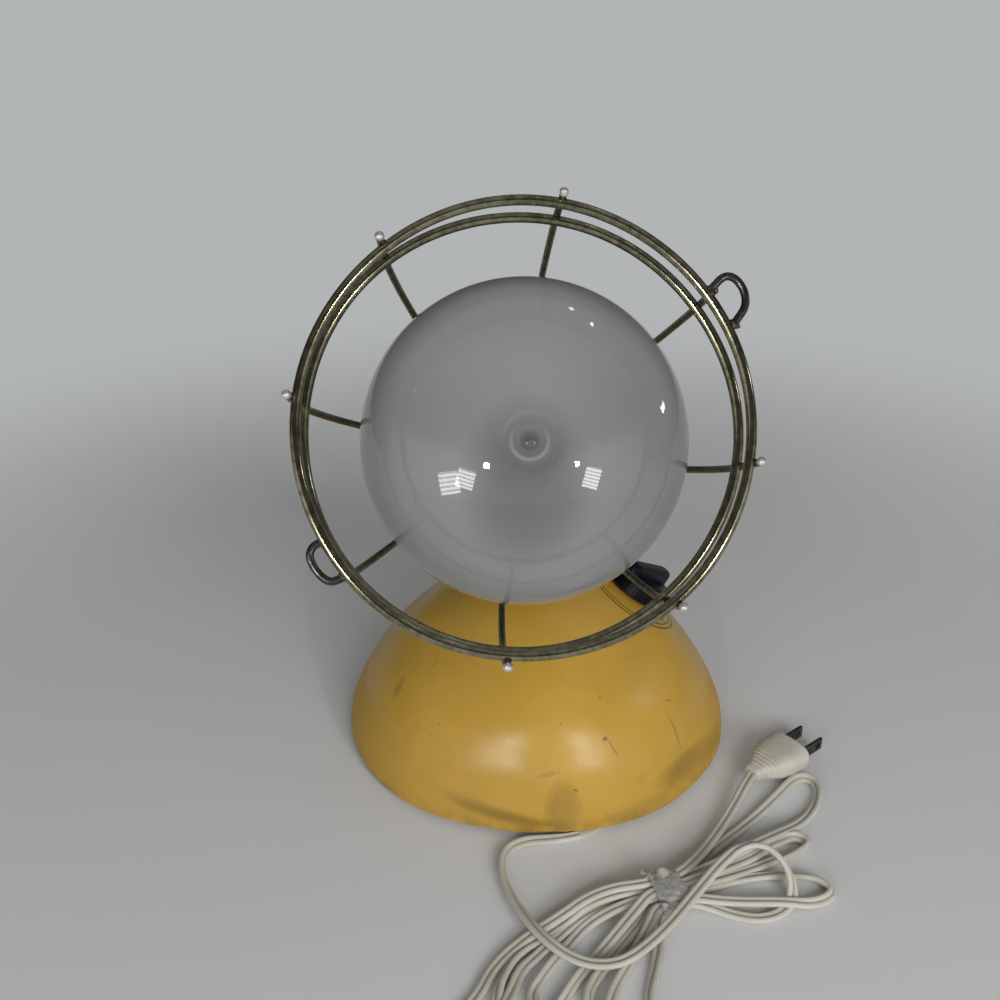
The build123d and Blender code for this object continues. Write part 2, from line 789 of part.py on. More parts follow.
def timer_terminals():
    """Two flat terminals on the back of the can."""
    back = -timer_case_drop - timer_plate_thickness - timer_case_depth
    tab = Pos(0, 0, back - terminal_length / 2) * Box(terminal_thickness, terminal_width, terminal_length)
    eye = Pos(0, 0, back - terminal_length * 0.7) * Rot(0, 90, 0) * Cylinder(terminal_eye_radius, 3 * terminal_thickness)
    tab = tab - eye
    return [timer_place() * Pos(x, 0, 0) * tab for x in (-terminal_spacing / 2, terminal_spacing / 2)]


def spindle_top():
    """Height of the spindle's end above the dome's surface, inside the knob."""
    return knob_lift + knob_bore_depth - 0.3


def timer_spindle():
    """Round spindle with a flat for the knob."""
    low = -timer_case_drop - timer_plate_thickness
    high = spindle_top()
    rod = Pos(0, 0, (low + high) / 2) * Cylinder(spindle_radius, high - low)
    flat_length = high - bushing_stand - 1
    flat = Pos(spindle_radius * 1.6, 0, high - flat_length / 2) * Box(
        2 * spindle_radius * 0.9, 3 * spindle_radius, flat_length
    )
    return timer_place() * (rod - flat)


def timer_knob():
    """Knob with a sloping skirt and a raised grip across its top, hollow round the nut."""
    skirt = Polyline(
        (0, knob_lift),
        (knob_skirt_radius, knob_lift),
        (knob_skirt_radius, knob_lift + 1.6),
        (knob_top_radius, knob_lift + knob_disc_height),
        (0, knob_lift + knob_disc_height),
        close=True,
    )
    disc = turned(skirt)
    top_rim = disc.edges().filter_by(GeomType.CIRCLE).group_by(Axis.Z)[-1]
    disc = fillet(top_rim, 1.4)
    grip_low = knob_lift + knob_disc_height - 2
    grip_height = knob_lift + knob_height - grip_low
    grip = Pos(0, 0, grip_low) * extrude(SlotOverall(knob_grip_length, knob_grip_width), grip_height)
    grip = fillet(grip.edges().group_by(Axis.Z)[-1], knob_grip_round)
    recess = Pos(0, 0, knob_lift) * Cylinder(knob_recess_radius, 2 * knob_recess_depth)
    bore_height = knob_bore_depth
    bore = Pos(0, 0, knob_lift + bore_height / 2) * Cylinder(spindle_radius + fit_play, bore_height)
    return timer_place() * (disc + grip - recess - bore)


def arc_radii(route):
    """Radius of each arc of a cord's path: as large as the runs beside its corner allow."""
    points = [Vector(*p) for p in route]
    radii = []
    for before, corner, after in zip(points, points[1:], points[2:]):
        turn = (corner - before).get_angle(after - corner)
        shorter = min((corner - before).length, (after - corner).length)
        radii.append(0.45 * shorter / tan(radians(turn / 2)))
    return radii


def flat_section(width, thickness):
    """Cross-section of the flat cord: two round cores side by side."""
    return SlotOverall(width, thickness)


def cord_tube(route, radii):
    """Flat cord along straight runs joined by tangent arcs."""
    if len(route) > 2:
        path = FilletPolyline(*route, radius=radii)
    else:
        path = Line(*route)
    heading = path % 0
    across = Vector(-heading.Y, heading.X, 0)
    start = Plane(origin=path @ 0, x_dir=across, z_dir=heading)
    tube = sweep(start * flat_section(cord_width, cord_thickness), path)
    area = flat_section(cord_width, cord_thickness).area
    print("cord volume over section times length", round(tube.volume / (area * path.length), 4))
    return tube


def supply_cord():
    """Free cord from the bushing, out under the rim and round to the hank."""
    route = [(x, y, cord_thickness / 2) for x, y in cord_route]
    radii = arc_radii(route)
    print("cord arc radii", [round(r, 1) for r in radii])
    return cord_tube(route, radii)


def tie_place():
    """Location of the tie, with X along the bundle and Z up."""
    return Pos(tie_point[0], tie_point[1], 0) * Rot(0, 0, tie_bearing)


def cord_hank():
    """Outer shape of the folded cord: two fans that meet at the tie."""
    outline = make_face(Polyline(*hank_outline, close=True))
    outline = fillet(outline.vertices(), hank_corner_round)
    body = extrude(outline, hank_height)
    body = chamfer(body.edges().group_by(Axis.Z)[-1], hank_edge_round * 0.6)
    under_tie = tie_place() * Pos(0, 0, tie_sheet / 2) * Box(tie_length + 0.4, 2 * tie_span, tie_sheet)
    return body - under_tie


def cord_tie():
    """Plastic strip round the middle of the hank, with its twisted ends."""
    low, high = 0.0, hank_height + tie_sheet
    loop = Rectangle(tie_span + 2 * tie_sheet, high - low) - Rectangle(tie_span, high - low - 2 * tie_sheet)
    band = extrude(Plane.YZ * (Pos(0, (low + high) / 2) * loop), tie_length / 2, both=True)
    tail_start = high - tie_tail_radius
    tails = []
    for turn in (25, -35):
        tail = Pos(0, 0, tie_tail_length / 2) * Cylinder(tie_tail_radius, tie_tail_length)
        tails.append(Pos(0, tie_span / 3, tail_start) * Rot(65, 0, turn) * tail)
    return tie_place() * (band + tails[0] + tails[1])


def plug_place():
    """Location of the plug's back face, with Z along its blades and Y up."""
    height = plug_rest + plug_front_height / 2
    return Pos(plug_back[0], plug_back[1], height) * Rot(0, 0, plug_bearing - 90) * Rot(-90, 0, 0)


def plug_body():
    """Moulded plug that widens from the cord to its front face."""
    sections = [
        (0.0, plug_back_width, plug_back_height, plug_round * 0.8),
        (plug_shoulder, plug_front_width * 0.86, plug_front_height * 0.84, plug_round * 1.2),
        (plug_length, plug_front_width, plug_front_height, plug_round),
    ]
    faces = [Pos(0, 0, s) * RectangleRounded(width, height, corner) for s, width, height, corner in sections]
    return plug_place() * loft(faces, ruled=True)


def plug_blades():
    """Two flat blades with a hole near each tip."""
    blade = Pos(0, 0, plug_length + blade_length / 2) * Box(blade_thickness, blade_width, blade_length)
    blade = chamfer(blade.faces().sort_by(Axis.Z)[-1].edges(), 0.5)
    hole_s = plug_length + blade_length - blade_hole_setback
    blade = blade - Pos(0, 0, hole_s) * Rot(0, 90, 0) * Cylinder(blade_hole_radius, 3)
    return [plug_place() * Pos(x, 0, 0) * blade for x in (-blade_spacing / 2, blade_spacing / 2)]


def plug_cord():
    """Short stretch of the cord from the hank up to the plug."""
    end = plug_place().position
    return cord_tube([plug_cord_start, (end.X, end.Y, end.Z)], [])


def write_parts():
    """Makes every piece and writes one STEP file for each node."""
    makers = (
        base_shell, ballast_plate, felt_pad, cord_outlet_bushing, centre_pipe, pipe_nuts,
        inner_saddle, outer_saddle, neck_washers, neck_nut, neck_yoke, tilt_screws,
        spring_washers, lampholder_body, lampholder_cap, cap_screws, holder_screw_shell,
        centre_contact, bulb_glass, bulb_stem, arc_tube, support_wires, bulb_screw_cap,
        bulb_insulator, bulb_contact, cage_collar, timer_case, timer_plate, timer_bushing,
        timer_nut, timer_jam_nut, timer_terminals, timer_spindle, timer_knob, supply_cord,
        cord_hank, cord_tie, plug_body, plug_blades, plug_cord,
    )
    for maker in makers:
        solids[maker.__name__] = maker()
    solids["cage_front_ring"] = cage_ring(front_ring_s)
    solids["cage_rear_ring"] = cage_ring(rear_ring_s)
    for index, bearing in enumerate(rib_bearings):
        if index in loop_ribs:
            rib = cage_rib(bearing, loop_rib_tip_stand, rib_wire_radius)
        else:
            rib = cage_rib(bearing, rib_tip_stand, rib_tip_ball_radius)
        solids[f"cage_rib_{index + 1}"] = rib
    for number, loop in enumerate(finger_loops, 1):
        solids[f"finger_loop_{number}"] = finger_loop(*loop)
    os.makedirs("parts", exist_ok=True)
    for name, shape in solids.items():
        if isinstance(shape, list):
            shape = Compound(children=shape)
        export_step(shape, f"parts/{name}.step")


write_parts()
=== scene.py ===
import bpy
import numpy as np
from mathutils import Matrix, Quaternion, Vector


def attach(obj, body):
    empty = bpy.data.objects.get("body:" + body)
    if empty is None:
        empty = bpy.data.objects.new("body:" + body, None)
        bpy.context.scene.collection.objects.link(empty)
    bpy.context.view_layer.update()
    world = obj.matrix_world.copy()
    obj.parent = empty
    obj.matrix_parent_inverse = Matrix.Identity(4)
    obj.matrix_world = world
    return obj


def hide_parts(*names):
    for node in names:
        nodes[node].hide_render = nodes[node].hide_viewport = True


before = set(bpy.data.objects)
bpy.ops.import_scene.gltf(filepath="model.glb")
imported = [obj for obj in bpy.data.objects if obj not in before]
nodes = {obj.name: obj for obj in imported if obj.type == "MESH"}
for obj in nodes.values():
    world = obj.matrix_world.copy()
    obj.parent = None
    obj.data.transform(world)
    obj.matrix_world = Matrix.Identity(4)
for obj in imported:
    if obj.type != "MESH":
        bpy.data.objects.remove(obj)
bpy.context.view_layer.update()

TURN = 2 * np.pi
UPRIGHT = np.array((0.0, 0.0, 1.0))

# Dome section: three tangent arcs, as in the source, in metres
RIM_RADIUS = 0.100
RIM_LIFT = 0.0032
WALL = 0.0012
FOOT_RADIUS = 0.035
FOOT_ANGLE = np.radians(22.3)
FLANK_RADIUS = 0.128
FLANK_ANGLE = np.radians(62.0)
HEM_WIDTH = 0.004
DOME_COLUMNS = 540

# Where the wall stands off its pressed shape: the dent, the flat beside it, the front and the
# side under the timer
DENT_BEARING = np.radians(-83.0)
FLAT_BEARING = np.radians(-37.0)
FRONT_BEARING = np.radians(-87.0)
TIMER_SIDE_BEARING = np.radians(-8.0)

# Timer axis on the dome
DIAL_BEARING = np.radians(11.0)
DIAL_SLOPE = np.radians(55.3)
DIAL_RADIUS = 0.0265
DIAL_INNER_RADIUS = 0.0241
DIGIT_RADIUS = 0.0198
DIGIT_SIZE = 0.0046
DIGIT_THICKENING = 0.00012
LONG_TICK = 0.0019
SHORT_TICK = 0.0012
TICK_HALF_WIDTH = 0.00022
PRINT_LIFT = 0.00010

# Timer knob, from the dome's skin outwards
KNOB_LIFT = 0.0010
KNOB_RADIUS = 0.0162
KNOB_TOP_RADIUS = 0.0152
KNOB_DISC_HEIGHT = 0.0095
KNOB_HEIGHT = 0.0156
GRIP_HALF_LENGTH = 0.0178
GRIP_HALF_WIDTH = 0.0045
GRIP_ROUNDING = 0.0026
GRIP_SIDES = 72
KNOB_ROUNDING = 0.0018
KNOB_BORE = 0.0096
KNOB_RECESS = 0.0050
KNOB_RIBS = 36
KNOB_RIB_DEPTH = 0.004
GRIP_TURN = np.radians(31.5)

# Lamp axis: s runs forwards from the tilt axis, x to the right, t upwards
PIVOT = np.array((-0.0175, 0.0, 0.1528))
RAISED = np.radians(28.0)
PANNED = np.radians(3.5)
AHEAD = np.array((np.sin(PANNED), -np.cos(PANNED), 0.0))
RIGHT = np.array((np.cos(PANNED), np.sin(PANNED), 0.0))
AXIS = AHEAD * np.cos(RAISED) + UPRIGHT * np.sin(RAISED)
UP = -AHEAD * np.sin(RAISED) + UPRIGHT * np.cos(RAISED)

# Cage wires
RING_RADIUS = 0.0796
RING_WIRE = 0.00192
RING_POINTS = 900
RING_SWAY = 0.00025
REAR_RING_RADIUS = 0.0800
RIB_WIRE = 0.0014
RIB_LINE = 0.0828
FRONT_RING_S = 0.173
REAR_RING_S = 0.150
RIB_BEND_S = 0.120
RIB_BEND_RADIUS = 0.110
RIB_HEEL = 0.02412
RIB_HEEL_RADIUS = 0.012
COLLAR_FRONT_S = 0.019
COLLAR_BACK_S = 0.009
TIP_STAND = 0.004
TIP_RADIUS = 0.0017
RIB_BEARINGS = (34.9, 79.5, 126.4, 171.4, 218.3, 264.6, 310.1, 350.5)
LOOP_RIBS = (0, 4)
LOOP_WIRE = 0.00145

# Bulb
BULB_RADIUS = 0.0635
BULB_WIDEST = 0.1265
BULB_TIP_AHEAD = 0.038
SHOULDER_RADIUS = 0.028
CONE_ANGLE = np.radians(38.0)
NECK_RADIUS = 0.0205
NECK_FILLET = 0.030
NECK_END = 0.034
SEAL_S = 0.0192
SEAL_RADIUS = 0.0124
SEAL_BASIN_RADIUS = 0.0103
SEAL_RIDGE_RADIUS = 0.0065
SEAL_CUP_RADIUS = 0.0042
SEAL_NIB_RADIUS = 0.0012
SEAL_OFFSET = (-0.0010, -0.0028)
BULB_LEAN = (0.0275, -0.0083)
TIP_FROM_NECK = 0.113
# Place of the seal seen from the front, across and up: its offset and the lean at the bulb's tip
SEAL_PLACE = tuple(offset + TIP_FROM_NECK * lean for offset, lean in zip(SEAL_OFFSET, BULB_LEAN))


# Mesh helpers

def add_piece(name, points, faces, body, slot, material, smooth_angle=40.0):
    """Makes a mesh object from points and faces, shades it smooth and rides it on a body."""
    mesh = bpy.data.meshes.new(name)
    mesh.from_pydata(np.asarray(points).tolist(), [], [list(f) for f in faces])
    mesh.validate()
    mesh.shade_smooth()
    mesh.set_sharp_from_angle(angle=np.radians(smooth_angle))
    piece = bpy.data.objects.new(name, mesh)
    bpy.context.scene.collection.objects.link(piece)
    mesh.materials.append(material)
    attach(piece, body)
    return piece


def grid_faces(rows, columns, wrap_rows=False, wrap_columns=True, first=0):
    """Quads between neighbouring rows and columns of a grid of points, wrapped where asked."""
    r = np.arange(rows if wrap_rows else rows - 1)
    c = np.arange(columns if wrap_columns else columns - 1)
    rr, cc = np.meshgrid(r, c, indexing="ij")
    nr, nc = (rr + 1) % rows, (cc + 1) % columns
    quads = np.stack((rr * columns + cc, rr * columns + nc, nr * columns + nc, nr * columns + cc), -1)
    return (quads.reshape(-1, 4) + first).tolist()


def tube_faces(rows, sides):
    """Faces of a capped tube: the grid's quads turned over, and one polygon at each end."""
    faces = [f[::-1] for f in grid_faces(rows, sides)]
    return faces + [list(range(sides)), [rows * sides - 1 - k for k in range(sides)]]


def joined(parts):
    """Puts several (points, faces) pairs into one, with the faces renumbered."""
    points, faces, count = [], [], 0
    for p, f in parts:
        points.append(np.asarray(p))
        faces += [[i + count for i in face] for face in f]
        count += len(p)
    return np.concatenate(points), faces


def turned(radii, heights, columns):
    """Surface of revolution about Z; a profile end on the axis becomes one pole point."""
    angles = np.arange(columns) * TURN / columns
    ring = np.stack((np.cos(angles), np.sin(angles)), -1)
    body = [i for i in range(len(radii)) if radii[i] > 1e-9]
    points = np.concatenate(
        [np.column_stack((ring * radii[i], np.full(columns, heights[i]))) for i in body]
    )
    faces = grid_faces(len(body), columns)
    if radii[0] <= 1e-9:
        points = np.vstack((points, (0, 0, heights[0])))
        faces += [(len(points) - 1, (c + 1) % columns, c) for c in range(columns)]
    if radii[-1] <= 1e-9:
        points = np.vstack((points, (0, 0, heights[-1])))
        last = (len(body) - 1) * columns
        faces += [(len(points) - 1, last + c, last + (c + 1) % columns) for c in range(columns)]
    return points, faces


def to_lamp(points):
    """Moves points from lamp coordinates (x, t, s) to the row frame."""
    p = np.asarray(points)
    return PIVOT + p[:, :1] * RIGHT + p[:, 1:2] * UP + p[:, 2:3] * AXIS


def arc(centre, radius, start, end, steps):
    """Points on a circle in a plane from one angle to another."""
    a = np.linspace(start, end, steps)
    return np.column_stack((centre[0] + radius * np.cos(a), centre[1] + radius * np.sin(a)))


def rounded(corners, radii, step=0.0012):
    """Wire centre line: straight runs, with an arc tangent to both runs at each corner."""
    corners = [np.asarray(c, float) for c in corners]
    line = [corners[0]]
    for before, corner, after, radius in zip(corners, corners[1:], corners[2:], radii):
        d1 = (corner - before) / np.linalg.norm(corner - before)
        d2 = (after - corner) / np.linalg.norm(after - corner)
        turn = np.arccos(np.clip(d1 @ d2, -1, 1))
        inward = (d2 - d1) / np.linalg.norm(d2 - d1)
        centre = corner + inward * radius / np.cos(turn / 2)
        side = corner - radius * np.tan(turn / 2) * d1 - centre
        steps = max(4, int(radius * turn / step))
        for k in range(steps + 1):
            a = turn * k / steps
            line.append(centre + side * np.cos(a) + d1 * radius * np.sin(a))
    line.append(corners[-1])
    return evenly(np.array(line), step)


def evenly(line, step):
    """The same line with its points a step apart."""
    along = np.concatenate(([0], np.cumsum(np.linalg.norm(np.diff(line, axis=0), axis=1))))
    count = max(2, int(round(along[-1] / step)) + 1)
    at = np.linspace(0, along[-1], count)
    return np.stack([np.interp(at, along, line[:, k]) for k in range(3)], -1)


def frames_along(line, closed=False, reference=UPRIGHT):
    """Unit tangent, and two directions across it that stay as near as can be to a reference."""
    if closed:
        tangent = np.roll(line, -1, 0) - np.roll(line, 1, 0)
    else:
        tangent = np.gradient(line, axis=0)
    tangent /= np.linalg.norm(tangent, axis=1)[:, None]
    across = np.cross(reference, tangent)
    across /= np.linalg.norm(across, axis=1)[:, None]
    return tangent, across, np.cross(tangent, across)


def wire(line, radius, closed=False, sides=16, reference=UPRIGHT):
    """Round wire along a line: circles across its tangent, with domed ends when it is open."""
    line = np.asarray(line)
    radius = np.broadcast_to(radius, (len(line),)).astype(float)
    if not closed:
        ahead = (line[1] - line[0]) / np.linalg.norm(line[1] - line[0])
        behind = (line[-1] - line[-2]) / np.linalg.norm(line[-1] - line[-2])
        lead = np.array([1.0, 0.92, 0.7, 0.38, 0.0])
        start = [line[0] - ahead * radius[0] * k for k in lead]
        end = [line[-1] + behind * radius[-1] * k for k in lead[::-1]]
        shrink = np.sqrt(np.clip(1 - lead**2, 0.0006, 1))
        line = np.vstack((start, line[1:-1], end))
        radius = np.concatenate((radius[0] * shrink, radius[1:-1], radius[-1] * shrink[::-1]))
    tangent, across, lift = frames_along(line, closed, reference)
    a = np.arange(sides) * TURN / sides
    spokes = np.cos(a)[:, None] * across[:, None] + np.sin(a)[:, None] * lift[:, None]
    rings = line[:, None] + radius[:, None, None] * spokes
    if closed:
        faces = [f[::-1] for f in grid_faces(len(line), sides, wrap_rows=True)]
    else:
        faces = tube_faces(len(line), sides)
    return rings.reshape(-1, 3), faces


def bell(distance, spread):
    """Bell curve: 1 in the middle, 0.37 at the spread."""
    return np.exp(-((distance / spread) ** 2))


def below(height, line, softness):
    """1 well below a line, 0 well above it, with a soft step between."""
    return 1 / (1 + np.exp(np.clip((height - line) / softness, -30, 30)))


def curve_mesh(data):
    """Mesh that a curve or a text makes, and its points."""
    holder = bpy.data.objects.new(data.name, data)
    mesh = bpy.data.meshes.new_from_object(holder)
    points = np.empty(len(mesh.vertices) * 3)
    mesh.vertices.foreach_get("co", points)
    bpy.data.objects.remove(holder)
    return mesh, points.reshape(-1, 3)


def blob(centre, size, seed, rows=10, columns=14, roughness=0.18):
    """Lumpy bead: a ball stretched by size, its radius varied by a few random waves."""
    local = np.random.default_rng(seed)
    lat = np.linspace(0, np.pi, rows)[:, None]
    lon = (np.arange(columns) * TURN / columns)[None, :]
    unit = np.stack((np.sin(lat) * np.cos(lon), np.sin(lat) * np.sin(lon), np.cos(lat) + 0 * lon), -1)
    waves = sum(
        np.sin(unit @ (local.normal(size=3) * f) + local.uniform(0, TURN)) for f in (2.5, 4.0, 6.0)
    )
    unit = unit * (1 + roughness * waves / 3)[..., None]
    points = (np.asarray(centre) + unit * np.asarray(size)).reshape(-1, 3)
    return points, [f[::-1] for f in grid_faces(rows, columns)]


# Shader helpers

# Places of the colour sockets on Blender's mix node
FIRST_COLOUR, SECOND_COLOUR, MIXED_COLOUR = 6, 7, 2


class Nodes:
    """Short calls for the nodes of one tree."""

    def __init__(self, tree):
        self.tree = tree

    def add(self, kind):
        return self.tree.nodes.new("ShaderNode" + kind)

    def feed(self, target, value):
        if isinstance(value, bpy.types.NodeSocket):
            self.tree.links.new(value, target)
        elif isinstance(value, (tuple, list)) and len(value) == 3 and target.type == "RGBA":
            target.default_value = (*value, 1.0)
        else:
            target.default_value = value

    def math(self, operation, a, b=0.0):
        node = self.add("Math")
        node.operation = operation
        self.feed(node.inputs[0], a)
        self.feed(node.inputs[1], b)
        return node.outputs[0]

    def plus(self, a, b):
        return self.math("ADD", a, b)

    def minus(self, a, b):
        return self.math("SUBTRACT", a, b)

    def times(self, a, b):
        return self.math("MULTIPLY", a, b)

    def squared(self, a):
        return self.math("POWER", a, 2.0)

    def size(self, a):
        return self.math("ABSOLUTE", a)

    def vector(self, operation, a, b=(0.0, 0.0, 0.0)):
        node = self.add("VectorMath")
        node.operation = operation
        self.feed(node.inputs[0], a)
        self.feed(node.inputs[1], b)
        return node.outputs["Value" if operation in ("LENGTH", "DOT_PRODUCT") else "Vector"]

    def from_point(self, value, point):
        """Offset of a place from a point."""
        return self.vector("SUBTRACT", value, tuple(point))

    def along(self, offset, direction):
        """Length of an offset along a direction."""
        return self.vector("DOT_PRODUCT", offset, tuple(direction))

    def parts(self, value):
        """X, Y and Z of a vector."""
        node = self.add("SeparateXYZ")
        self.feed(node.inputs[0], value)
        return tuple(node.outputs)

    def ramp(self, value, low, high, start, end, kind="LINEAR"):
        """Start below low, end above high, and a slope between."""
        node = self.add("MapRange")
        node.interpolation_type = kind
        for socket, number in (
            ("Value", value), ("From Min", low), ("From Max", high), ("To Min", start), ("To Max", end)
        ):
            self.feed(node.inputs[socket], number)
        return node.outputs["Result"]

    def rise(self, value, low, high, start=0.0, end=1.0):
        """Start below low, end above high, and a smooth step between."""
        return self.ramp(value, low, high, start, end, "SMOOTHSTEP")

    def between(self, value, low, high):
        """0 to 1 turned into low to high."""
        return self.ramp(value, 0.0, 1.0, low, high)

    def blend(self, amount, a, b):
        node = self.add("Mix")
        node.data_type = "RGBA"
        self.feed(node.inputs["Factor"], amount)
        self.feed(node.inputs[FIRST_COLOUR], a)
        self.feed(node.inputs[SECOND_COLOUR], b)
        return node.outputs[MIXED_COLOUR]

    def glow(self, kind, colour, strength=1.0):
        """Light of one colour, given off by a surface or the background."""
        node = self.add(kind)
        self.feed(node.inputs["Color"], colour)
        self.feed(node.inputs["Strength"], strength)
        return node.outputs[0]

    def mixed(self, amount, first, second):
        """Mix of two shaders."""
        node = self.add("MixShader")
        for target, value in zip(node.inputs, (amount, first, second)):
            self.feed(target, value)
        return node.outputs[0]


class Shader(Nodes):
    """A material with a Principled shader; its noises lie in the object's own coordinates."""

    def __init__(self, name, colour, roughness=0.5, metallic=0.0, **constants):
        self.material = bpy.data.materials.new(name)
        self.material.use_nodes = True
        super().__init__(self.material.node_tree)
        self.surface = self.tree.nodes["Principled BSDF"]
        self.link("Base Color", colour)
        self.link("Roughness", roughness)
        self.link("Metallic", metallic)
        for socket, value in constants.items():
            self.link(socket.replace("_", " "), value)
        self.place = self.add("TexCoord").outputs["Object"]

    def link(self, socket, value):
        self.feed(self.surface.inputs[socket], value)

    def noise(self, scale, detail=4.0, roughness=0.55, distortion=0.0):
        node = self.add("TexNoise")
        for socket, value in (
            ("Vector", self.place), ("Scale", scale), ("Detail", detail), ("Roughness", roughness),
            ("Distortion", distortion),
        ):
            self.feed(node.inputs[socket], value)
        return node.outputs["Fac"]

    def emboss(self, height, distance, strength=1.0):
        node = self.add("Bump")
        for socket, value in (("Strength", strength), ("Distance", distance), ("Height", height)):
            self.feed(node.inputs[socket], value)
        self.link("Normal", node.outputs[0])


def dial_axis():
    """Point where the timer's axis leaves the dome, and its outward direction."""
    flank = arc_centres()[1]
    reach = flank[0] + FLANK_RADIUS * np.cos(DIAL_SLOPE)
    height = flank[1] + FLANK_RADIUS * np.sin(DIAL_SLOPE)
    out = np.array((np.cos(DIAL_BEARING), np.sin(DIAL_BEARING), 0.0))
    return out * reach + UPRIGHT * height, out * np.cos(DIAL_SLOPE) + UPRIGHT * np.sin(DIAL_SLOPE)


def dial_frame():
    """Centre of the dial, its outward direction, and the level and rising directions across it."""
    centre, normal = dial_axis()
    level = np.cross(UPRIGHT, normal)
    level /= np.linalg.norm(level)
    return centre, normal, level, np.cross(normal, level)


def arc_centres():
    """Centres of the foot, flank and crown arcs of the dome's section, and the crown's radius."""
    foot = np.array((RIM_RADIUS - FOOT_RADIUS, RIM_LIFT))
    step = FLANK_RADIUS - FOOT_RADIUS
    flank = foot - step * np.array((np.cos(FOOT_ANGLE), np.sin(FOOT_ANGLE)))
    crown_radius = flank[0] / np.cos(FLANK_ANGLE) + FLANK_RADIUS
    crown = np.array((0.0, flank[1] + (FLANK_RADIUS - crown_radius) * np.sin(FLANK_ANGLE)))
    return foot, flank, crown, crown_radius


# Marks on the enamel, some of them painted shade: bearing in degrees, height, half width along
# the rim, half height, in metres, tilt in degrees, strength and raggedness
ENAMEL_MARKS_AND_SHADE = (
    # painted shade: a dark band along the rim on the lower right, in three patches
    (-33.0, 0.0140, 0.0270, 0.0056, -5.0, 0.34, 0.30),
    (-42.0, 0.0165, 0.0160, 0.0045, -3.0, 0.14, 0.3),
    (-62.0, 0.0085, 0.0220, 0.0030, 5.0, 0.20, 0.5),
    # chips, scratches and scuffs in the enamel
    (-149.7, 0.0457, 0.0028, 0.0036, 10.0, 0.36, 0.8),
    (-140.0, 0.0620, 0.0008, 0.0016, 0.0, 0.25, 1.0),
    (-67.6, 0.0425, 0.0014, 0.0007, 0.0, 0.85, 0.8),
    (-65.6, 0.0385, 0.0004, 0.0038, 28.0, 0.60, 1.0),
    (-65.7, 0.0576, 0.0008, 0.0003, 0.0, 0.6, 0.7),
    (-37.6, 0.0455, 0.0032, 0.0004, -12.0, 0.45, 1.2),
    (-40.6, 0.0330, 0.0004, 0.0082, 0.0, 0.55, 1.2),
    (-86.5, 0.0310, 0.0050, 0.0009, 8.0, 0.30, 1.6),
    (-79.0, 0.0230, 0.0010, 0.0005, 0.0, 0.55, 1.5),
    # painted shadow of the fold in the dent
    (-83.0, 0.0150, 0.0075, 0.0100, 0.0, 0.34, 0.2),
    # a scuff
    (-58.0, 0.0225, 0.0030, 0.0014, 20.0, 0.20, 1.5),
    # painted shade under the crease to the left of the dent
    (-101.0, 0.0125, 0.0230, 0.0034, -9.0, 0.42, 0.3),
)


def enamel():
    """Mustard enamel: uneven colour, darker near the rim, marks, painted shade along the rim and at the
    dent, scuffs, specks and printed rings.
    """
    s = Shader("mustard_enamel", (0.50, 0.30, 0.045), 0.38, Specular_IOR_Level=0.6)
    broad = s.noise(14.0, 3.0)
    fine = s.noise(70.0, 5.0, 0.65)
    colour = s.blend(s.rise(broad, 0.35, 0.7), (0.480, 0.283, 0.036), (0.555, 0.330, 0.050))
    colour = s.blend(s.times(s.rise(fine, 0.52, 0.8), 0.25), colour, (0.40, 0.235, 0.04))
    x, y, height = s.parts(s.place)
    bearing = s.math("ARCTAN2", y, x)
    ragged = s.noise(620.0, 3.0, 0.7)
    for degrees, up, half_width, half_height, tilt, strength, torn in ENAMEL_MARKS_AND_SHADE:
        across = s.times(s.minus(bearing, float(np.radians(degrees))), RIM_RADIUS)
        rising = s.minus(height, up)
        c, n = float(np.cos(np.radians(tilt))), float(np.sin(np.radians(tilt)))
        u = s.plus(s.times(across, c / half_width), s.times(rising, n / half_width))
        v = s.minus(s.times(rising, c / half_height), s.times(across, n / half_height))
        reach = s.plus(s.squared(s.size(u)), s.squared(s.size(v)))
        reach = s.plus(reach, s.times(s.minus(ragged, 0.5), 5.0 * torn))
        # each entry darkens the colour inside its ellipse: a real mark, or painted shade where the table
        # says so
        colour = s.blend(s.times(s.rise(reach, 2.4, 0.0), strength), colour, (0.105, 0.062, 0.018))
    # darker in patches towards the rim
    rim_darkening = s.times(s.rise(height, 0.012, 0.0035), s.rise(fine, 0.40, 0.75))
    colour = s.blend(s.times(rim_darkening, 0.55), colour, (0.16, 0.10, 0.03))
    rubbed, scuffed = s.noise(26.0, 2.0), s.noise(210.0, 6.0, 0.7)
    rub = s.times(s.rise(rubbed, 0.60, 0.72), s.rise(scuffed, 0.55, 0.68))
    colour = s.blend(s.times(rub, 0.35), colour, (0.26, 0.17, 0.06))
    dots, where_dotted = s.noise(520.0, 2.0), s.noise(31.0, 2.0)
    specks = s.times(s.rise(dots, 0.71, 0.77), s.rise(where_dotted, 0.52, 0.64))
    colour = s.blend(specks, colour, (0.10, 0.07, 0.03))
    centre, normal = dial_axis()
    offset = s.from_point(s.place, centre)
    up_axis = s.along(offset, normal)
    from_axis = s.math("SQRT", s.minus(s.squared(s.vector("LENGTH", offset)), s.squared(up_axis)))
    ink = 0.0
    for radius, width in ((DIAL_RADIUS, 0.00042), (DIAL_INNER_RADIUS, 0.00036)):
        line = s.rise(s.size(s.minus(from_axis, radius)), width * 1.5, width * 0.6)
        ink = s.math("MAXIMUM", ink, line)
    worn = s.rise(s.noise(160.0, 4.0, 0.7), 0.30, 0.42)
    colour = s.blend(s.times(s.times(ink, worn), 0.9), colour, (0.05, 0.03, 0.012))
    s.link("Base Color", colour)
    uneven = s.plus(s.times(fine, 0.12), s.times(rub, 0.10))
    dulled = s.times(s.rise(height, 0.0345, 0.0255), 0.34)
    s.link("Roughness", s.plus(s.plus(uneven, dulled), 0.25))
    s.emboss(s.plus(s.noise(420.0, 3.0), s.times(s.noise(60.0, 2.0), 1.2)), 0.00012, 0.5)
    return s.material


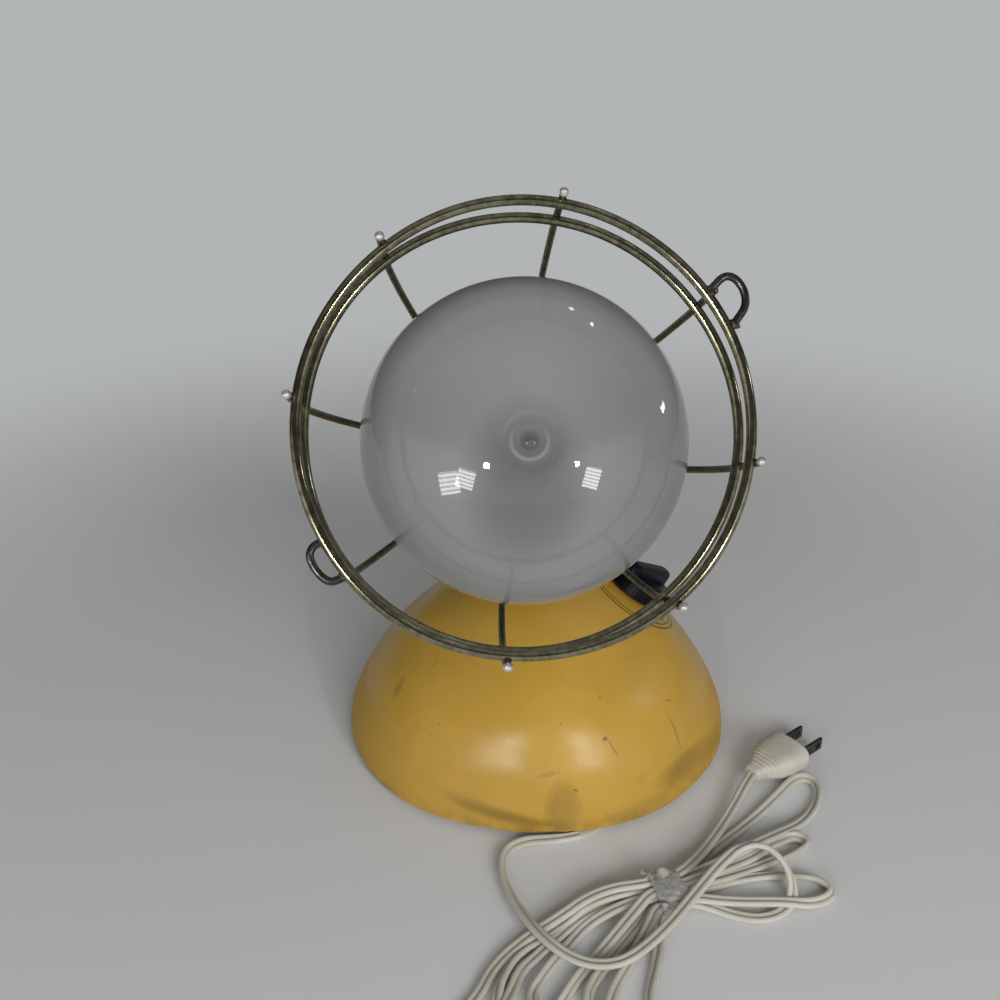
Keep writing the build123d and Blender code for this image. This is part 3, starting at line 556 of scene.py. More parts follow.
def tarnished(name, bright, dark, rust, roughness=(0.2, 0.5), rust_amount=0.5, bare_tips=False):
    """Plated metal: bright plate under thin tarnish, fine pits, dark specks and a little rust,
    rubbed bare beyond the front ring if asked."""
    s = Shader(name, bright, 0.3, 1.0)
    film = s.noise(330.0, 4.0, 0.6)
    broad = s.noise(30.0, 2.0)
    pits = s.noise(1500.0, 3.0, 0.6)
    worn = s.plus(s.times(film, 0.6), s.times(broad, 0.4))
    colour = s.blend(s.rise(worn, 0.36, 0.64), bright, dark)
    specks = s.times(s.rise(pits, 0.61, 0.69), s.rise(film, 0.48, 0.62))
    specks = s.times(specks, s.rise(s.noise(18.0, 2.0), 0.44, 0.60))
    colour = s.blend(s.times(specks, 0.8), colour, tuple(0.25 * c for c in dark))
    rusty = s.times(s.rise(s.noise(70.0, 3.0), 0.61, 0.73), s.rise(pits, 0.44, 0.6))
    rusty = s.times(rusty, rust_amount)
    colour = s.blend(rusty, colour, rust)
    if bare_tips:
        ahead = s.along(s.from_point(s.place, PIVOT), AXIS)
        bare = s.rise(ahead, FRONT_RING_S + 0.0021, FRONT_RING_S + 0.0027)
        colour = s.blend(bare, colour, (0.80, 0.79, 0.75))
    s.link("Base Color", colour)
    s.link("Metallic", s.between(s.math("MAXIMUM", rusty, s.times(specks, 0.6)), 1.0, 0.2))
    grain = s.plus(s.times(film, 0.6), s.times(pits, 0.4))
    s.link("Roughness", s.between(grain, *roughness))
    return s.material


def frosted_glass():
    """Bulb glass frosted on the inside: a milky grey under a clear glossy skin, with painted light and
    shade: lighter on top, darker to the right, a painted shade low in the middle, a darker disc over the
    seal with a painted highlight crescent below it, and paler towards the edge, where the backdrop's
    light through the clear glass is painted in."""
    s = Shader(
        "frosted_bulb_glass", (0.16, 0.163, 0.158), 0.42,
        Coat_Weight=1.0, Coat_Roughness=0.025, Coat_IOR=1.5, Specular_IOR_Level=0.2,
    )
    offset = s.from_point(s.place, PIVOT)
    ahead, above, aside = (s.along(offset, direction) for direction in (AXIS, UP, RIGHT))
    cloud = s.noise(9.0, 2.0, 0.5)
    colour = s.blend(s.rise(cloud, 0.3, 0.7), (0.190, 0.193, 0.186), (0.222, 0.226, 0.218))
    # painted light: lighter towards the top
    colour = s.blend(s.times(s.rise(above, 0.000, 0.034), 0.60), colour, (0.290, 0.294, 0.284))
    # painted shade: darker towards the right
    colour = s.blend(s.times(s.rise(aside, 0.004, 0.050), 0.30), colour, (0.120, 0.123, 0.119))
    # painted shade: a dark patch low in the middle, below the seal
    painted_shade_reach = s.plus(s.squared(s.times(s.plus(aside, -0.001), 1.25)), s.squared(s.plus(above, 0.019)))
    shade = s.times(s.rise(painted_shade_reach, 0.00120, 0.0), 0.66)
    colour = s.blend(shade, colour, (0.080, 0.081, 0.079))
    sideways, upwards = SEAL_PLACE
    from_seal = s.plus(s.squared(s.minus(aside, sideways)), s.squared(s.minus(above, upwards)))
    from_seal = s.math("SQRT", from_seal)
    disc = s.rise(from_seal, 0.0044, 0.0026)
    colour = s.blend(s.times(disc, 0.5), colour, (0.055, 0.055, 0.053))
    # painted highlight: a pale crescent on the lower side of the ring round the seal
    ring = s.rise(s.size(s.minus(from_seal, 0.0067)), 0.0010, 0.0002)
    ring = s.times(ring, s.rise(s.minus(above, upwards), 0.009, -0.006))
    colour = s.blend(s.times(ring, 0.45), colour, (0.34, 0.34, 0.33))
    # paler towards the edge, where the glass is clear: the backdrop's light seen through it is painted in
    edge = s.minus(1.0, s.rise(ahead, 0.108, 0.128))
    colour = s.blend(s.times(edge, 0.6), colour, (0.30, 0.30, 0.29))
    dust = s.times(s.rise(s.noise(900.0, 2.0), 0.70, 0.78), 0.25)
    colour = s.blend(dust, colour, (0.42, 0.42, 0.41))
    s.link("Base Color", colour)
    s.link("Roughness", s.between(cloud, 0.36, 0.50))
    return s.material


def moulding(name, low, high, roughness=(0.3, 0.5), grain=600.0, depth=0.00006, **constants):
    """Moulded plastic: slightly uneven colour, fine grain and handling marks."""
    s = Shader(name, low, roughness[0], **constants)
    marks = s.noise(55.0, 5.0, 0.6)
    s.link("Base Color", s.blend(s.rise(marks, 0.35, 0.7), low, high))
    s.link("Roughness", s.between(marks, *roughness))
    s.emboss(s.plus(s.noise(grain, 3.0), s.times(marks, 0.4)), depth, 0.6)
    return s.material


def cord_vinyl():
    """Aged ivory vinyl: yellowed stretches, darker along the groove between the cores."""
    s = Shader("ivory_cord_vinyl", (0.60, 0.57, 0.48), 0.42, Subsurface_Weight=0.08, Subsurface_Scale=0.002)
    s.link("Subsurface Radius", (1.0, 0.8, 0.5))
    aged = s.noise(32.0, 3.0)
    colour = s.blend(s.rise(aged, 0.35, 0.7), (0.585, 0.565, 0.505), (0.50, 0.475, 0.40))
    groove = s.add("Attribute")
    groove.attribute_name = "groove"
    # darker along the groove between the cores
    colour = s.blend(s.times(groove.outputs["Fac"], 0.65), colour, (0.20, 0.185, 0.14))
    smudge = s.times(s.rise(s.noise(120.0, 4.0, 0.7), 0.60, 0.75), 0.35)
    colour = s.blend(smudge, colour, (0.35, 0.33, 0.27))
    s.link("Base Color", colour)
    s.link("Roughness", s.between(aged, 0.34, 0.52))
    s.emboss(s.noise(900.0, 2.0), 0.00005, 0.4)
    return s.material


def tie_film():
    """Thin plastic film gone milky, with creases."""
    s = Shader("milky_tie_film", (0.60, 0.60, 0.57), 0.4, Specular_IOR_Level=0.35)
    crease = s.noise(240.0, 3.0, 0.6, 1.5)
    s.link("Base Color", s.blend(s.rise(crease, 0.4, 0.7), (0.56, 0.55, 0.51), (0.40, 0.385, 0.35)))
    s.link("Roughness", s.between(crease, 0.30, 0.55))
    s.link("Alpha", s.between(crease, 0.80, 0.30))
    s.emboss(crease, 0.0003, 0.4)
    return s.material


def felt():
    """Dark felt: short fibres as fine bumps, paler lint."""
    s = Shader("green_black_felt", (0.03, 0.045, 0.03), 0.95, Sheen_Weight=0.3)
    fibres = s.noise(1400.0, 6.0, 0.8)
    s.link("Base Color", s.blend(s.rise(fibres, 0.45, 0.75), (0.022, 0.034, 0.024), (0.09, 0.11, 0.085)))
    s.emboss(fibres, 0.0004, 0.8)
    return s.material


ENAMEL = enamel()
PLATE = tarnished(
    "tarnished_brass_plate", (0.36, 0.335, 0.225), (0.150, 0.140, 0.088), (0.08, 0.05, 0.025),
    (0.125, 0.145), 0.5,
)
RIB_PLATE = tarnished(
    "tarnished_rib_plate", (0.26, 0.24, 0.165), (0.115, 0.105, 0.070), (0.08, 0.05, 0.025),
    (0.42, 0.55), 0.5, bare_tips=True,
)
JOINT = tarnished(
    "brazed_joint", (0.16, 0.14, 0.085), (0.05, 0.04, 0.028), (0.10, 0.05, 0.025), (0.3, 0.55), 0.7,
)
PEWTER = tarnished(
    "dark_pewter_wire", (0.115, 0.115, 0.112), (0.048, 0.047, 0.046), (0.16, 0.085, 0.035),
    (0.16, 0.36), 0.7,
)
WELD = tarnished(
    "rusty_weld", (0.20, 0.15, 0.09), (0.06, 0.04, 0.025), (0.24, 0.09, 0.03), (0.35, 0.6), 0.8,
)
STEEL = tarnished(
    "dull_steel", (0.42, 0.41, 0.39), (0.17, 0.165, 0.155), (0.24, 0.11, 0.05), (0.25, 0.45), 0.3,
)
BRASS = tarnished(
    "old_brass", (0.50, 0.38, 0.17), (0.20, 0.145, 0.06), (0.18, 0.12, 0.05), (0.2, 0.42), 0.3,
)
DARK_BLADE = tarnished(
    "blackened_blade", (0.16, 0.155, 0.145), (0.035, 0.034, 0.03), (0.08, 0.05, 0.03), (0.3, 0.5), 0.3,
)
IRON = moulding("black_cast_iron", (0.016, 0.016, 0.016), (0.045, 0.042, 0.038), (0.55, 0.8), 300.0, 0.0004)
PHENOLIC = moulding("black_phenolic", (0.010, 0.009, 0.009), (0.028, 0.025, 0.022), (0.22, 0.42))
NAVY = moulding(
    "navy_black_knob", (0.0016, 0.0018, 0.0034), (0.0034, 0.0037, 0.0062), (0.30, 0.46),
    Specular_IOR_Level=0.16,
)
GLASS = frosted_glass()
CLEAR = moulding(
    "inner_quartz", (0.55, 0.56, 0.56), (0.66, 0.66, 0.66), (0.05, 0.12), 40.0, 0.00002,
    Transmission_Weight=0.8,
)
CORD = cord_vinyl()
PLUG = moulding("ivory_plug_vinyl", (0.60, 0.575, 0.505), (0.50, 0.47, 0.39), (0.30, 0.46), 800.0, 0.00008)
FILM = tie_film()
FELT = felt()
INK = moulding("brown_dial_ink", (0.045, 0.028, 0.012), (0.10, 0.06, 0.02), (0.5, 0.7))


# Camera

CAMERA_LENS = 43.2
CAMERA_PLACE = (-0.0101, -0.5382, 0.3962)
CAMERA_LOOK = np.array((-0.0158, 0.8967, -0.4424))


def place_camera():
    """Camera at the photograph's station: 26 degrees down, a little left of the lamp."""
    data = bpy.data.cameras.new("camera")
    data.lens, data.sensor_width = CAMERA_LENS, 36.0
    data.clip_start, data.clip_end = 0.02, 50.0
    camera = bpy.data.objects.new("camera", data)
    bpy.context.scene.collection.objects.link(camera)
    ahead = CAMERA_LOOK / np.linalg.norm(CAMERA_LOOK)
    right = np.cross(ahead, UPRIGHT)
    right /= np.linalg.norm(right)
    up = np.cross(right, ahead)
    turn = Matrix((tuple(right), tuple(up), tuple(-ahead))).transposed().to_4x4()
    camera.matrix_world = Matrix.Translation(CAMERA_PLACE) @ turn
    bpy.context.scene.camera = camera


place_camera()


# Cord

CORD_WIDTH = 0.0054
CORD_THICKNESS = 0.0027
CORD_SIDES = 28
# Control points of the cord's one spline: x, y, z in millimetres and the roll of its flat side
# in degrees; z is raised where the rolled section would pass into the floor. From the bushing
# round to the bundle, over it and up in an arch, then in turn through the tie, a fold on one
# side, the tie and a fold on the other, and last out to the plug.
CORD_LINE = (
    (30.0, -78.5, 1.4, 0), (29.5, -88.5, 1.4, 0), (21.5, -97.0, 1.4, 0), (7.5, -100.5, 1.4, -15),
    (-6.0, -102.0, 1.4, -40), (-15.0, -108.5, 1.6, -65), (-17.0, -120.0, 1.6, -65),
    (-14.0, -133.5, 2.0, -40), (-7.5, -150.0, 4.8, -15), (1.0, -165.0, 6.6, 0), (12.5, -175.7, 6.2, 0),
    (23.5, -179.5, 6.0, 0), (35.5, -177.5, 6.4, 0), (47.0, -168.0, 7.5, 0), (57.8, -156.5, 9.2, 0),
    (70.0, -141.2, 11.5, 0), (81.0, -129.0, 14.8, 0), (90.5, -121.0, 17.5, -25),
    (100.5, -119.5, 17.8, -50), (108.0, -124.5, 15.2, -55), (112.8, -130.5, 8.8, -35),
    (112.8, -137.0, 2.8, 0), (108.0, -144.0, 1.6, 0), (98.0, -148.7, 1.4, 0), (86.0, -147.2, 1.6, 0),
    (76.0, -143.0, 2.4, 0),
    # through the tie, lowest lane of the near column, then the rightmost long fold
    (67.6, -140.2, 2.8, 0), (59.0, -143.6, 2.8, 0), (51.2, -147.5, 2.6, 0), (51.2, -158.0, 1.6, 0),
    (49.7, -170.0, 1.5, 25), (46.7, -182.0, 1.5, 40), (43.7, -193.0, 1.5, 50), (44.5, -206.0, 1.5, 0),
    (47.5, -218.0, 1.8, 0), (41.0, -227.0, 3.0, 0), (30.0, -222.0, 4.5, 0), (25.5, -208.0, 4.6, 0),
    (29.0, -190.5, 3.4, 35), (36.5, -176.5, 2.0, 35), (43.0, -165.0, 3.4, 0), (48.0, -155.0, 5.0, 0),
    # back through the tie above it, and round the flat loop on the right
    (51.2, -147.0, 5.7, 0), (59.0, -143.6, 5.7, 0), (67.6, -140.2, 5.7, 0), (77.0, -141.2, 5.0, 0),
    (89.0, -141.5, 4.4, 0), (107.0, -141.2, 4.6, 0), (122.0, -140.5, 2.6, 35), (132.0, -134.0, 2.6, 60),
    (128.5, -126.2, 2.6, 60), (117.0, -122.5, 2.2, 35), (101.0, -122.5, 1.6, 10),
    (87.0, -126.0, 1.8, 0), (75.5, -131.2, 2.6, 0),
    # lowest lane of the middle column, the second long fold
    (65.3, -134.6, 2.8, 0), (57.0, -138.0, 2.8, 0), (48.7, -141.4, 2.8, 0), (45.0, -150.0, 2.0, 0),
    (38.0, -160.0, 1.5, 0), (31.0, -170.0, 1.5, 0), (24.0, -181.0, 1.5, -40), (18.5, -192.0, 1.5, -50),
    (21.0, -204.0, 1.5, 0), (21.0, -217.0, 1.5, 0), (12.0, -225.5, 1.5, 0), (3.0, -217.5, 1.5, 0),
    (4.0, -204.0, 1.5, 0), (10.5, -191.5, 1.5, 45), (15.5, -182.5, 1.5, 35), (24.0, -171.0, 1.8, 0),
    (34.5, -157.5, 3.8, 0), (43.0, -148.0, 7.0, 0),
    # top lane of the middle column, the short doubled fold on the right
    (48.7, -141.4, 8.6, 0), (57.0, -138.0, 8.6, 0), (65.3, -134.6, 8.6, 0), (75.0, -129.7, 8.2, 0),
    (85.0, -123.0, 6.6, 0), (98.0, -114.5, 4.8, 0), (107.0, -106.5, 4.5, 0), (113.5, -101.4, 3.8, 25),
    (121.7, -96.7, 3.0, 60), (127.6, -101.6, 2.8, 70), (120.7, -107.8, 2.6, 50),
    (110.0, -112.2, 1.7, 15), (98.0, -118.0, 1.6, 0), (85.0, -125.5, 3.6, 0), (75.5, -130.4, 5.3, 0),
    # middle lane, the third long fold
    (65.3, -134.6, 5.7, 0), (57.0, -138.0, 5.7, 0), (48.7, -141.4, 5.7, 0), (40.0, -143.7, 5.2, 0),
    (30.0, -147.7, 3.6, 0), (20.5, -154.0, 2.0, 0), (13.0, -164.0, 1.5, 0), (5.5, -175.0, 1.5, -35),
    (0.0, -184.0, 1.5, -45), (-4.0, -193.0, 2.2, 0), (1.0, -203.0, 4.5, 0), (1.5, -215.0, 4.6, 0),
    (-7.0, -221.5, 4.6, 0), (-15.5, -214.0, 4.6, 0), (-15.5, -202.0, 4.2, 0), (-11.5, -190.5, 2.2, 0),
    (-8.0, -179.0, 1.5, 30), (-2.0, -172.0, 1.5, 0), (7.0, -161.5, 1.6, 0), (19.5, -148.5, 2.0, 0),
    (33.0, -141.0, 2.4, 0),
    # lowest lane of the far column, the upper loop on the right
    (46.4, -135.8, 2.8, 0), (54.7, -132.4, 2.8, 0), (63.1, -129.1, 2.8, 0), (70.0, -120.0, 2.4, 0),
    (85.0, -103.0, 1.6, 0), (103.0, -86.0, 1.6, 0), (119.0, -68.0, 2.2, 25), (131.0, -53.3, 2.6, 50),
    (140.2, -56.0, 2.8, 65), (139.5, -68.5, 2.6, 50), (132.5, -81.0, 1.8, 20), (124.0, -90.0, 2.6, 0),
    (113.0, -99.0, 5.6, 0), (98.0, -109.5, 7.4, 0), (84.0, -119.0, 7.4, 0), (73.0, -125.0, 6.4, 0),
    # middle lane, the leftmost long fold
    (63.1, -129.1, 5.7, 0), (54.7, -132.4, 5.7, 0), (46.4, -135.8, 5.7, 0), (36.0, -138.5, 5.6, 0),
    (27.0, -141.5, 5.0, 0), (18.5, -146.5, 4.7, 0), (11.0, -153.0, 2.2, 0), (-1.0, -162.5, 1.6, 0),
    (-7.0, -168.0, 1.5, 30), (-13.0, -177.0, 1.5, 50), (-17.8, -191.0, 1.5, 55),
    (-18.0, -205.0, 1.5, 0), (-19.0, -219.0, 1.5, 0), (-29.0, -227.0, 1.5, 0), (-38.5, -219.0, 1.5, 0),
    (-35.0, -205.0, 1.5, 0), (-25.0, -192.0, 1.5, 0), (-20.0, -178.0, 1.6, 0), (-8.0, -164.0, 2.6, 0),
    (10.0, -151.5, 5.0, 0), (20.0, -144.0, 7.6, 0), (33.0, -138.0, 8.6, 0),
    # top lane and out to the plug
    (46.4, -135.8, 8.7, 0), (54.7, -132.4, 8.7, 0), (63.1, -129.1, 8.6, 0), (71.5, -118.5, 6.8, 0),
    (78.5, -107.5, 5.0, 0), (87.0, -93.5, 4.0, 0), (97.5, -75.5, 5.0, 0), (103.5, -64.5, 7.0, 0),
    (108.5, -57.0, 7.7, 0),
)


def rest_height(roll):
    """Height of the cord's centre when its section, turned by roll degrees, touches the floor."""
    core = CORD_THICKNESS / 2
    return (CORD_WIDTH / 2 - core) * abs(np.sin(np.radians(roll))) + core


def cord_samples():
    """Points of the cord's NURBS spline, read back from the curve, with the roll at each."""
    curve = bpy.data.curves.new("cord_line", "CURVE")
    curve.dimensions = "3D"
    spline = curve.splines.new("NURBS")
    spline.points.add(len(CORD_LINE) - 1)
    for point, (x, y, z, roll) in zip(spline.points, CORD_LINE):
        point.co = (x / 1000, y / 1000, max(z / 1000, rest_height(roll)), 1.0)
    spline.order_u = 3
    spline.use_endpoint_u = True
    spline.resolution_u = 8
    line = curve_mesh(curve)[1]
    rolls = np.radians([p[3] for p in CORD_LINE])
    at = np.linspace(0, len(rolls) - 1, len(line))
    apart = np.concatenate(([True], np.linalg.norm(np.diff(line, axis=0), axis=1) > 1e-5))
    return line[apart], np.interp(at, np.arange(len(rolls)), rolls)[apart]


def cord_section():
    """Half-round cores side by side: a slot outline, pinched in the middle by a groove."""
    a = np.arange(CORD_SIDES) * TURN / CORD_SIDES
    core = CORD_THICKNESS / 2
    across = np.clip(np.cos(a) * CORD_WIDTH / 2 * 1.02, -CORD_WIDTH / 2, CORD_WIDTH / 2)
    from_core = np.abs(np.abs(across) - core)
    height = np.sqrt(np.clip(core**2 - from_core**2, 0, None))
    height = np.maximum(height, core * 0.52 * (np.abs(across) < core))
    groove = np.clip(1 - np.abs(across) / (core * 0.45), 0, 1)
    return across, height * np.sign(np.sin(a)), groove


def make_cord():
    """Flat twin cord: the section carried along the spline, its flat side rolled where it turns."""
    line, roll = cord_samples()
    tangent, across, lift = frames_along(line)
    side = across * np.cos(roll)[:, None] + lift * np.sin(roll)[:, None]
    up = lift * np.cos(roll)[:, None] - across * np.sin(roll)[:, None]
    x, y, groove = cord_section()
    rings = line[:, None] + x[None, :, None] * side[:, None] + y[None, :, None] * up[:, None]
    rings[..., 2] = np.maximum(rings[..., 2], 0.0002)
    faces = tube_faces(len(line), len(x))
    cord = add_piece("supply_cord_flex", rings.reshape(-1, 3), faces, "base", "ivory_cord", CORD, 50.0)
    tint = cord.data.attributes.new("groove", "FLOAT", "POINT")
    tint.data.foreach_set("value", np.tile(groove, len(line)))
    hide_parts("supply_cord", "cord_hank", "plug_cord")
    return cord, line


cord, cord_path = make_cord()


# Dome with its dent

def dome_profile(inset, first_angle):
    """Section from the rim to the crown, moved inwards by inset: three arcs end to end."""
    foot, flank, crown, crown_radius = arc_centres()
    return np.vstack((
        arc(foot, FOOT_RADIUS - inset, first_angle, FOOT_ANGLE, 16)[:-1],
        arc(flank, FLANK_RADIUS - inset, FOOT_ANGLE, FLANK_ANGLE, 70)[:-1],
        arc(crown, crown_radius - inset, FLANK_ANGLE, np.pi / 2, 36),
    ))


def dent_depth(bearing, height):
    """How far the wall is pushed in: a fold that rises from the rim, a step that runs from it to
    the left below a slowly rising line, a softer one to the right, a flat near the lower right,
    and a front wall that is a little fuller above and flatter below than the rest, as is the
    wall under the timer."""
    x = (bearing - DENT_BEARING) * RIM_RADIUS
    z = height - RIM_LIFT
    fold = 0.0046 * bell(x, np.where(x < 0, 0.0070, 0.0125)) * bell(z - 0.0130, 0.0095)
    lip = 0.0015 * bell(x, 0.012) * bell(z, 0.004)
    left = np.clip(-x, 0, None)
    fade = np.clip(left / 0.006, 0, 1) * np.clip((0.078 - left) / 0.045, 0, 1)
    step = 0.0024 * fade * below(z, 0.0025 + 0.0085 * (1 - np.exp(-left / 0.022)), 0.0014)
    right = np.clip(x, 0, None)
    fade = np.clip(right / 0.012, 0, 1) * np.clip((0.060 - right) / 0.040, 0, 1)
    soft = 0.0012 * fade * below(z, 0.004 + 0.12 * right, 0.0016)
    flat = 0.0030 * bell((bearing - FLAT_BEARING) * RIM_RADIUS, 0.020) * bell(z - 0.011, 0.010)
    fuller = 0.0012 * bell(height - 0.0540, 0.012)
    flatter = 0.0011 * bell(height - 0.0345, np.where(height > 0.0345, 0.010, 0.009))
    bulge = 0.0009 * bell(height - 0.0175, 0.0045)
    front = bell((bearing - FRONT_BEARING) * RIM_RADIUS, 0.055) * (flatter - fuller - bulge)
    ripple = 0.00025 * np.sin(3 * bearing + 0.6) * np.sin(height / 0.030)
    timer_side = 0.0007 * bell(bearing - TIMER_SIDE_BEARING, 0.5) * bell(height - 0.060, 0.022)
    clear_of_plate = 0.0031 + 1.5 * np.clip(height - 0.0100, 0, None)
    return np.minimum(fold + lip + step + soft + flat + front + ripple - timer_side, clear_of_plate)


def pushed_in(points):
    """How far the wall stands inside its pressed shape at each point, none near the crown."""
    bearing = np.arctan2(points[:, 1], points[:, 0])
    reach = np.hypot(points[:, 0], points[:, 1])
    return dent_depth(bearing, points[:, 2]) * np.clip((reach - 0.03) / 0.03, 0, 1)


def make_dome():
    """Enamelled shell: outer and inner section turned about Z, pushed in at the dent, and kept
    within the rim's radius."""
    outer = dome_profile(0, 0.0)
    hem = np.array((
        (RIM_RADIUS - 0.0004, RIM_LIFT),
        (RIM_RADIUS - HEM_WIDTH, RIM_LIFT),
        (RIM_RADIUS - HEM_WIDTH, RIM_LIFT + WALL),
    ))
    inner_start = np.arcsin(WALL / (FOOT_RADIUS - WALL))
    inner = dome_profile(WALL, inner_start)
    section = np.vstack((outer[::-1], hem, inner))
    section[0, 0] = section[-1, 0] = 0.0
    points, faces = turned(section[:, 0], section[:, 1], DOME_COLUMNS)
    radius = np.hypot(points[:, 0], points[:, 1])
    keep = np.where(radius > 1e-6, 1 - pushed_in(points) / np.maximum(radius, 1e-6), 1.0)
    points[:, :2] *= keep[:, None]
    reach = np.maximum(np.hypot(points[:, 0], points[:, 1]), 0.001)
    points[:, :2] *= np.minimum(1, (RIM_RADIUS - 0.00003) / reach)[:, None]
    faces = [f[::-1] for f in faces]
    dome = add_piece("enamelled_dome", points, faces, "base", "yellow_enamel", ENAMEL, 50.0)
    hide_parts("base_shell")
    return dome


def dome_gap(points):
    """Signed distance from the dome's outer surface, from the centre of the arc at each height."""
    foot, flank, crown, crown_radius = arc_centres()
    flat = np.column_stack((np.hypot(points[:, 0], points[:, 1]) + pushed_in(points), points[:, 2]))
    to_flank = flat - flank
    angle = np.arctan2(to_flank[:, 1], to_flank[:, 0])
    gap = np.linalg.norm(to_flank, axis=1) - FLANK_RADIUS
    low = np.linalg.norm(flat - foot, axis=1) - FOOT_RADIUS
    high = np.linalg.norm(flat - crown, axis=1) - crown_radius
    return np.where(angle < FOOT_ANGLE, low, np.where(angle > FLANK_ANGLE, high, gap))


def spoke(degrees):
    """Outward and sideways directions at an angle on the flat dial."""
    turn = np.radians(degrees)
    out = np.array((np.cos(turn), np.sin(turn)))
    return out, np.array((out[1], -out[0]))


def digit_shape(label, degrees):
    """A number set upright to the dial's middle: points on the flat dial, and faces."""
    text = bpy.data.curves.new("dial_text", "FONT")
    text.body, text.size, text.offset = label, DIGIT_SIZE, DIGIT_THICKENING
    text.align_x, text.align_y = "CENTER", "CENTER"
    text.resolution_u = 3
    mesh, flat = curve_mesh(text)
    out, right = spoke(degrees)
    points = flat[:, :1] * right + flat[:, 1:2] * out + out * DIGIT_RADIUS
    return points, [list(p.vertices) for p in mesh.polygons]


def tick_shape(degrees, length):
    """A tick inside the inner ring: four corners on the flat dial, and one face."""
    out, right = spoke(degrees)
    start, half = out * (DIAL_INNER_RADIUS - length), right * TICK_HALF_WIDTH
    end = out * DIAL_INNER_RADIUS
    return np.array((start - half, start + half, end + half, end - half)), [[3, 2, 1, 0]]


def make_dial_print():
    """Numbers and ticks of the dial, laid on the dome: flat shapes moved along the dial's axis."""
    centre, normal, level, slope = dial_frame()
    minutes = ("0", "5", "10", "15", "20", "25", "30")
    shapes = [digit_shape(label, 90 - 45.0 * k) for k, label in enumerate(minutes)]
    shapes += [tick_shape(90 - 9.0 * k, SHORT_TICK if k % 5 else LONG_TICK) for k in range(31)]
    flat, faces = joined(shapes)
    on_dial = centre + flat[:, :1] * level + flat[:, 1:] * slope
    rise = np.zeros(len(flat))
    for _ in range(8):
        rise -= dome_gap(on_dial + rise[:, None] * normal) - PRINT_LIFT
    return add_piece("dial_print", on_dial + rise[:, None] * normal, faces, "base", "yellow_enamel", INK)


make_dome()
make_dial_print()


# Bulb

def bulb_section():
    """Face, shoulder, cone and neck arcs, tangent to each other."""
    across = BULB_RADIUS - SHOULDER_RADIUS
    ahead = BULB_TIP_AHEAD - SHOULDER_RADIUS
    face_radius = (across**2 / ahead + SHOULDER_RADIUS + BULB_TIP_AHEAD) / 2
    face_s = BULB_WIDEST + BULB_TIP_AHEAD - face_radius
    face_angle = np.arctan2(BULB_WIDEST - face_s, across)
    neck_r = NECK_RADIUS + NECK_FILLET
    reach = (across - neck_r) * np.cos(CONE_ANGLE) + SHOULDER_RADIUS + NECK_FILLET
    neck_s = BULB_WIDEST - reach / np.sin(CONE_ANGLE)
    near = np.linspace(0, 0.0162, 80)
    start = np.arccos(0.0165 / face_radius)
    face = arc((0, face_s), face_radius, start, face_angle, 44)
    side = arc((across, BULB_WIDEST), SHOULDER_RADIUS, face_angle, -CONE_ANGLE, 60)
    throat = arc((neck_r, neck_s), NECK_FILLET, np.pi - CONE_ANGLE, np.pi, 24)
    foot = np.array((
        (NECK_RADIUS, NECK_END + 0.004), (NECK_RADIUS, NECK_END), (0.0170, 0.0268),
        (SEAL_RADIUS, SEAL_S + 0.0006), (SEAL_RADIUS - 0.001, SEAL_S), (0, SEAL_S),
    ))
    near_s = face_s + np.sqrt(face_radius**2 - near**2)
    return np.vstack((np.column_stack((near, near_s)), face, side[1:], throat, foot))


def make_bulb():
    """Glass envelope turned about the lamp axis, with the seal of its tip a little off the middle;
    the bulb leans in its socket, so points move sideways with their distance from the neck."""
    section = bulb_section()
    points, faces = turned(section[:, 0], section[:, 1], 300)
    from_seal = np.hypot(points[:, 0] - SEAL_OFFSET[0], points[:, 1] - SEAL_OFFSET[1])
    front = points[:, 2] > BULB_WIDEST + 0.02
    basin = -0.00072 * below(from_seal, SEAL_BASIN_RADIUS, 0.00060)
    ridge = 0.00014 * bell(from_seal - SEAL_RIDGE_RADIUS, 0.0011)
    cup = -0.00045 * np.exp(-((from_seal / SEAL_CUP_RADIUS) ** 4))
    nib = 0.0010 * bell(from_seal, SEAL_NIB_RADIUS)
    points[:, 2] += (basin + ridge + cup + nib) * front
    beyond_neck = np.clip(points[:, 2] - NECK_END, 0, None)
    points[:, :2] += beyond_neck[:, None] * np.array(BULB_LEAN)
    bulb = add_piece("frosted_envelope", to_lamp(points), faces, "head", "frosted_glass", GLASS, 60.0)
    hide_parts("bulb_glass")
    return bulb


make_bulb()


# Cage

def ring_line(radius, s, seed):
    """Circle round the lamp axis, very slightly out of true."""
    a = np.arange(RING_POINTS) * TURN / RING_POINTS
    local = np.random.default_rng(seed)
    out = radius + RING_SWAY * np.sin(3 * a + local.uniform(0, TURN))
    out += RING_SWAY * 0.6 * np.sin(5 * a + local.uniform(0, TURN))
    return np.column_stack((out * np.cos(a), out * np.sin(a), s + RING_SWAY * np.sin(2 * a + seed)))


def bead(bearing, radius, s, size, seed):
    """Weld bead at a bearing and distance from the lamp axis."""
    a = np.radians(bearing)
    points, faces = blob((radius * np.cos(a), radius * np.sin(a), s), size, seed)
    return to_lamp(points), faces


def make_ring(name, node, radius, s, seed):
    """Welded wire ring, with its beads at the ribs."""
    points, faces = wire(ring_line(radius, s, seed), RING_WIRE, closed=True, sides=32)
    ring = add_piece(name, to_lamp(points), faces, "head", "brass", PLATE, 60.0)
    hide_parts(node)
    beads = [
        bead(b, radius + 0.0019, s, (0.0013, 0.0013, 0.0019), seed * 20 + k)
        for k, b in enumerate(RIB_BEARINGS)
    ]
    add_piece(name + "_welds", *joined(beads), "head", "brass", JOINT, 80.0)


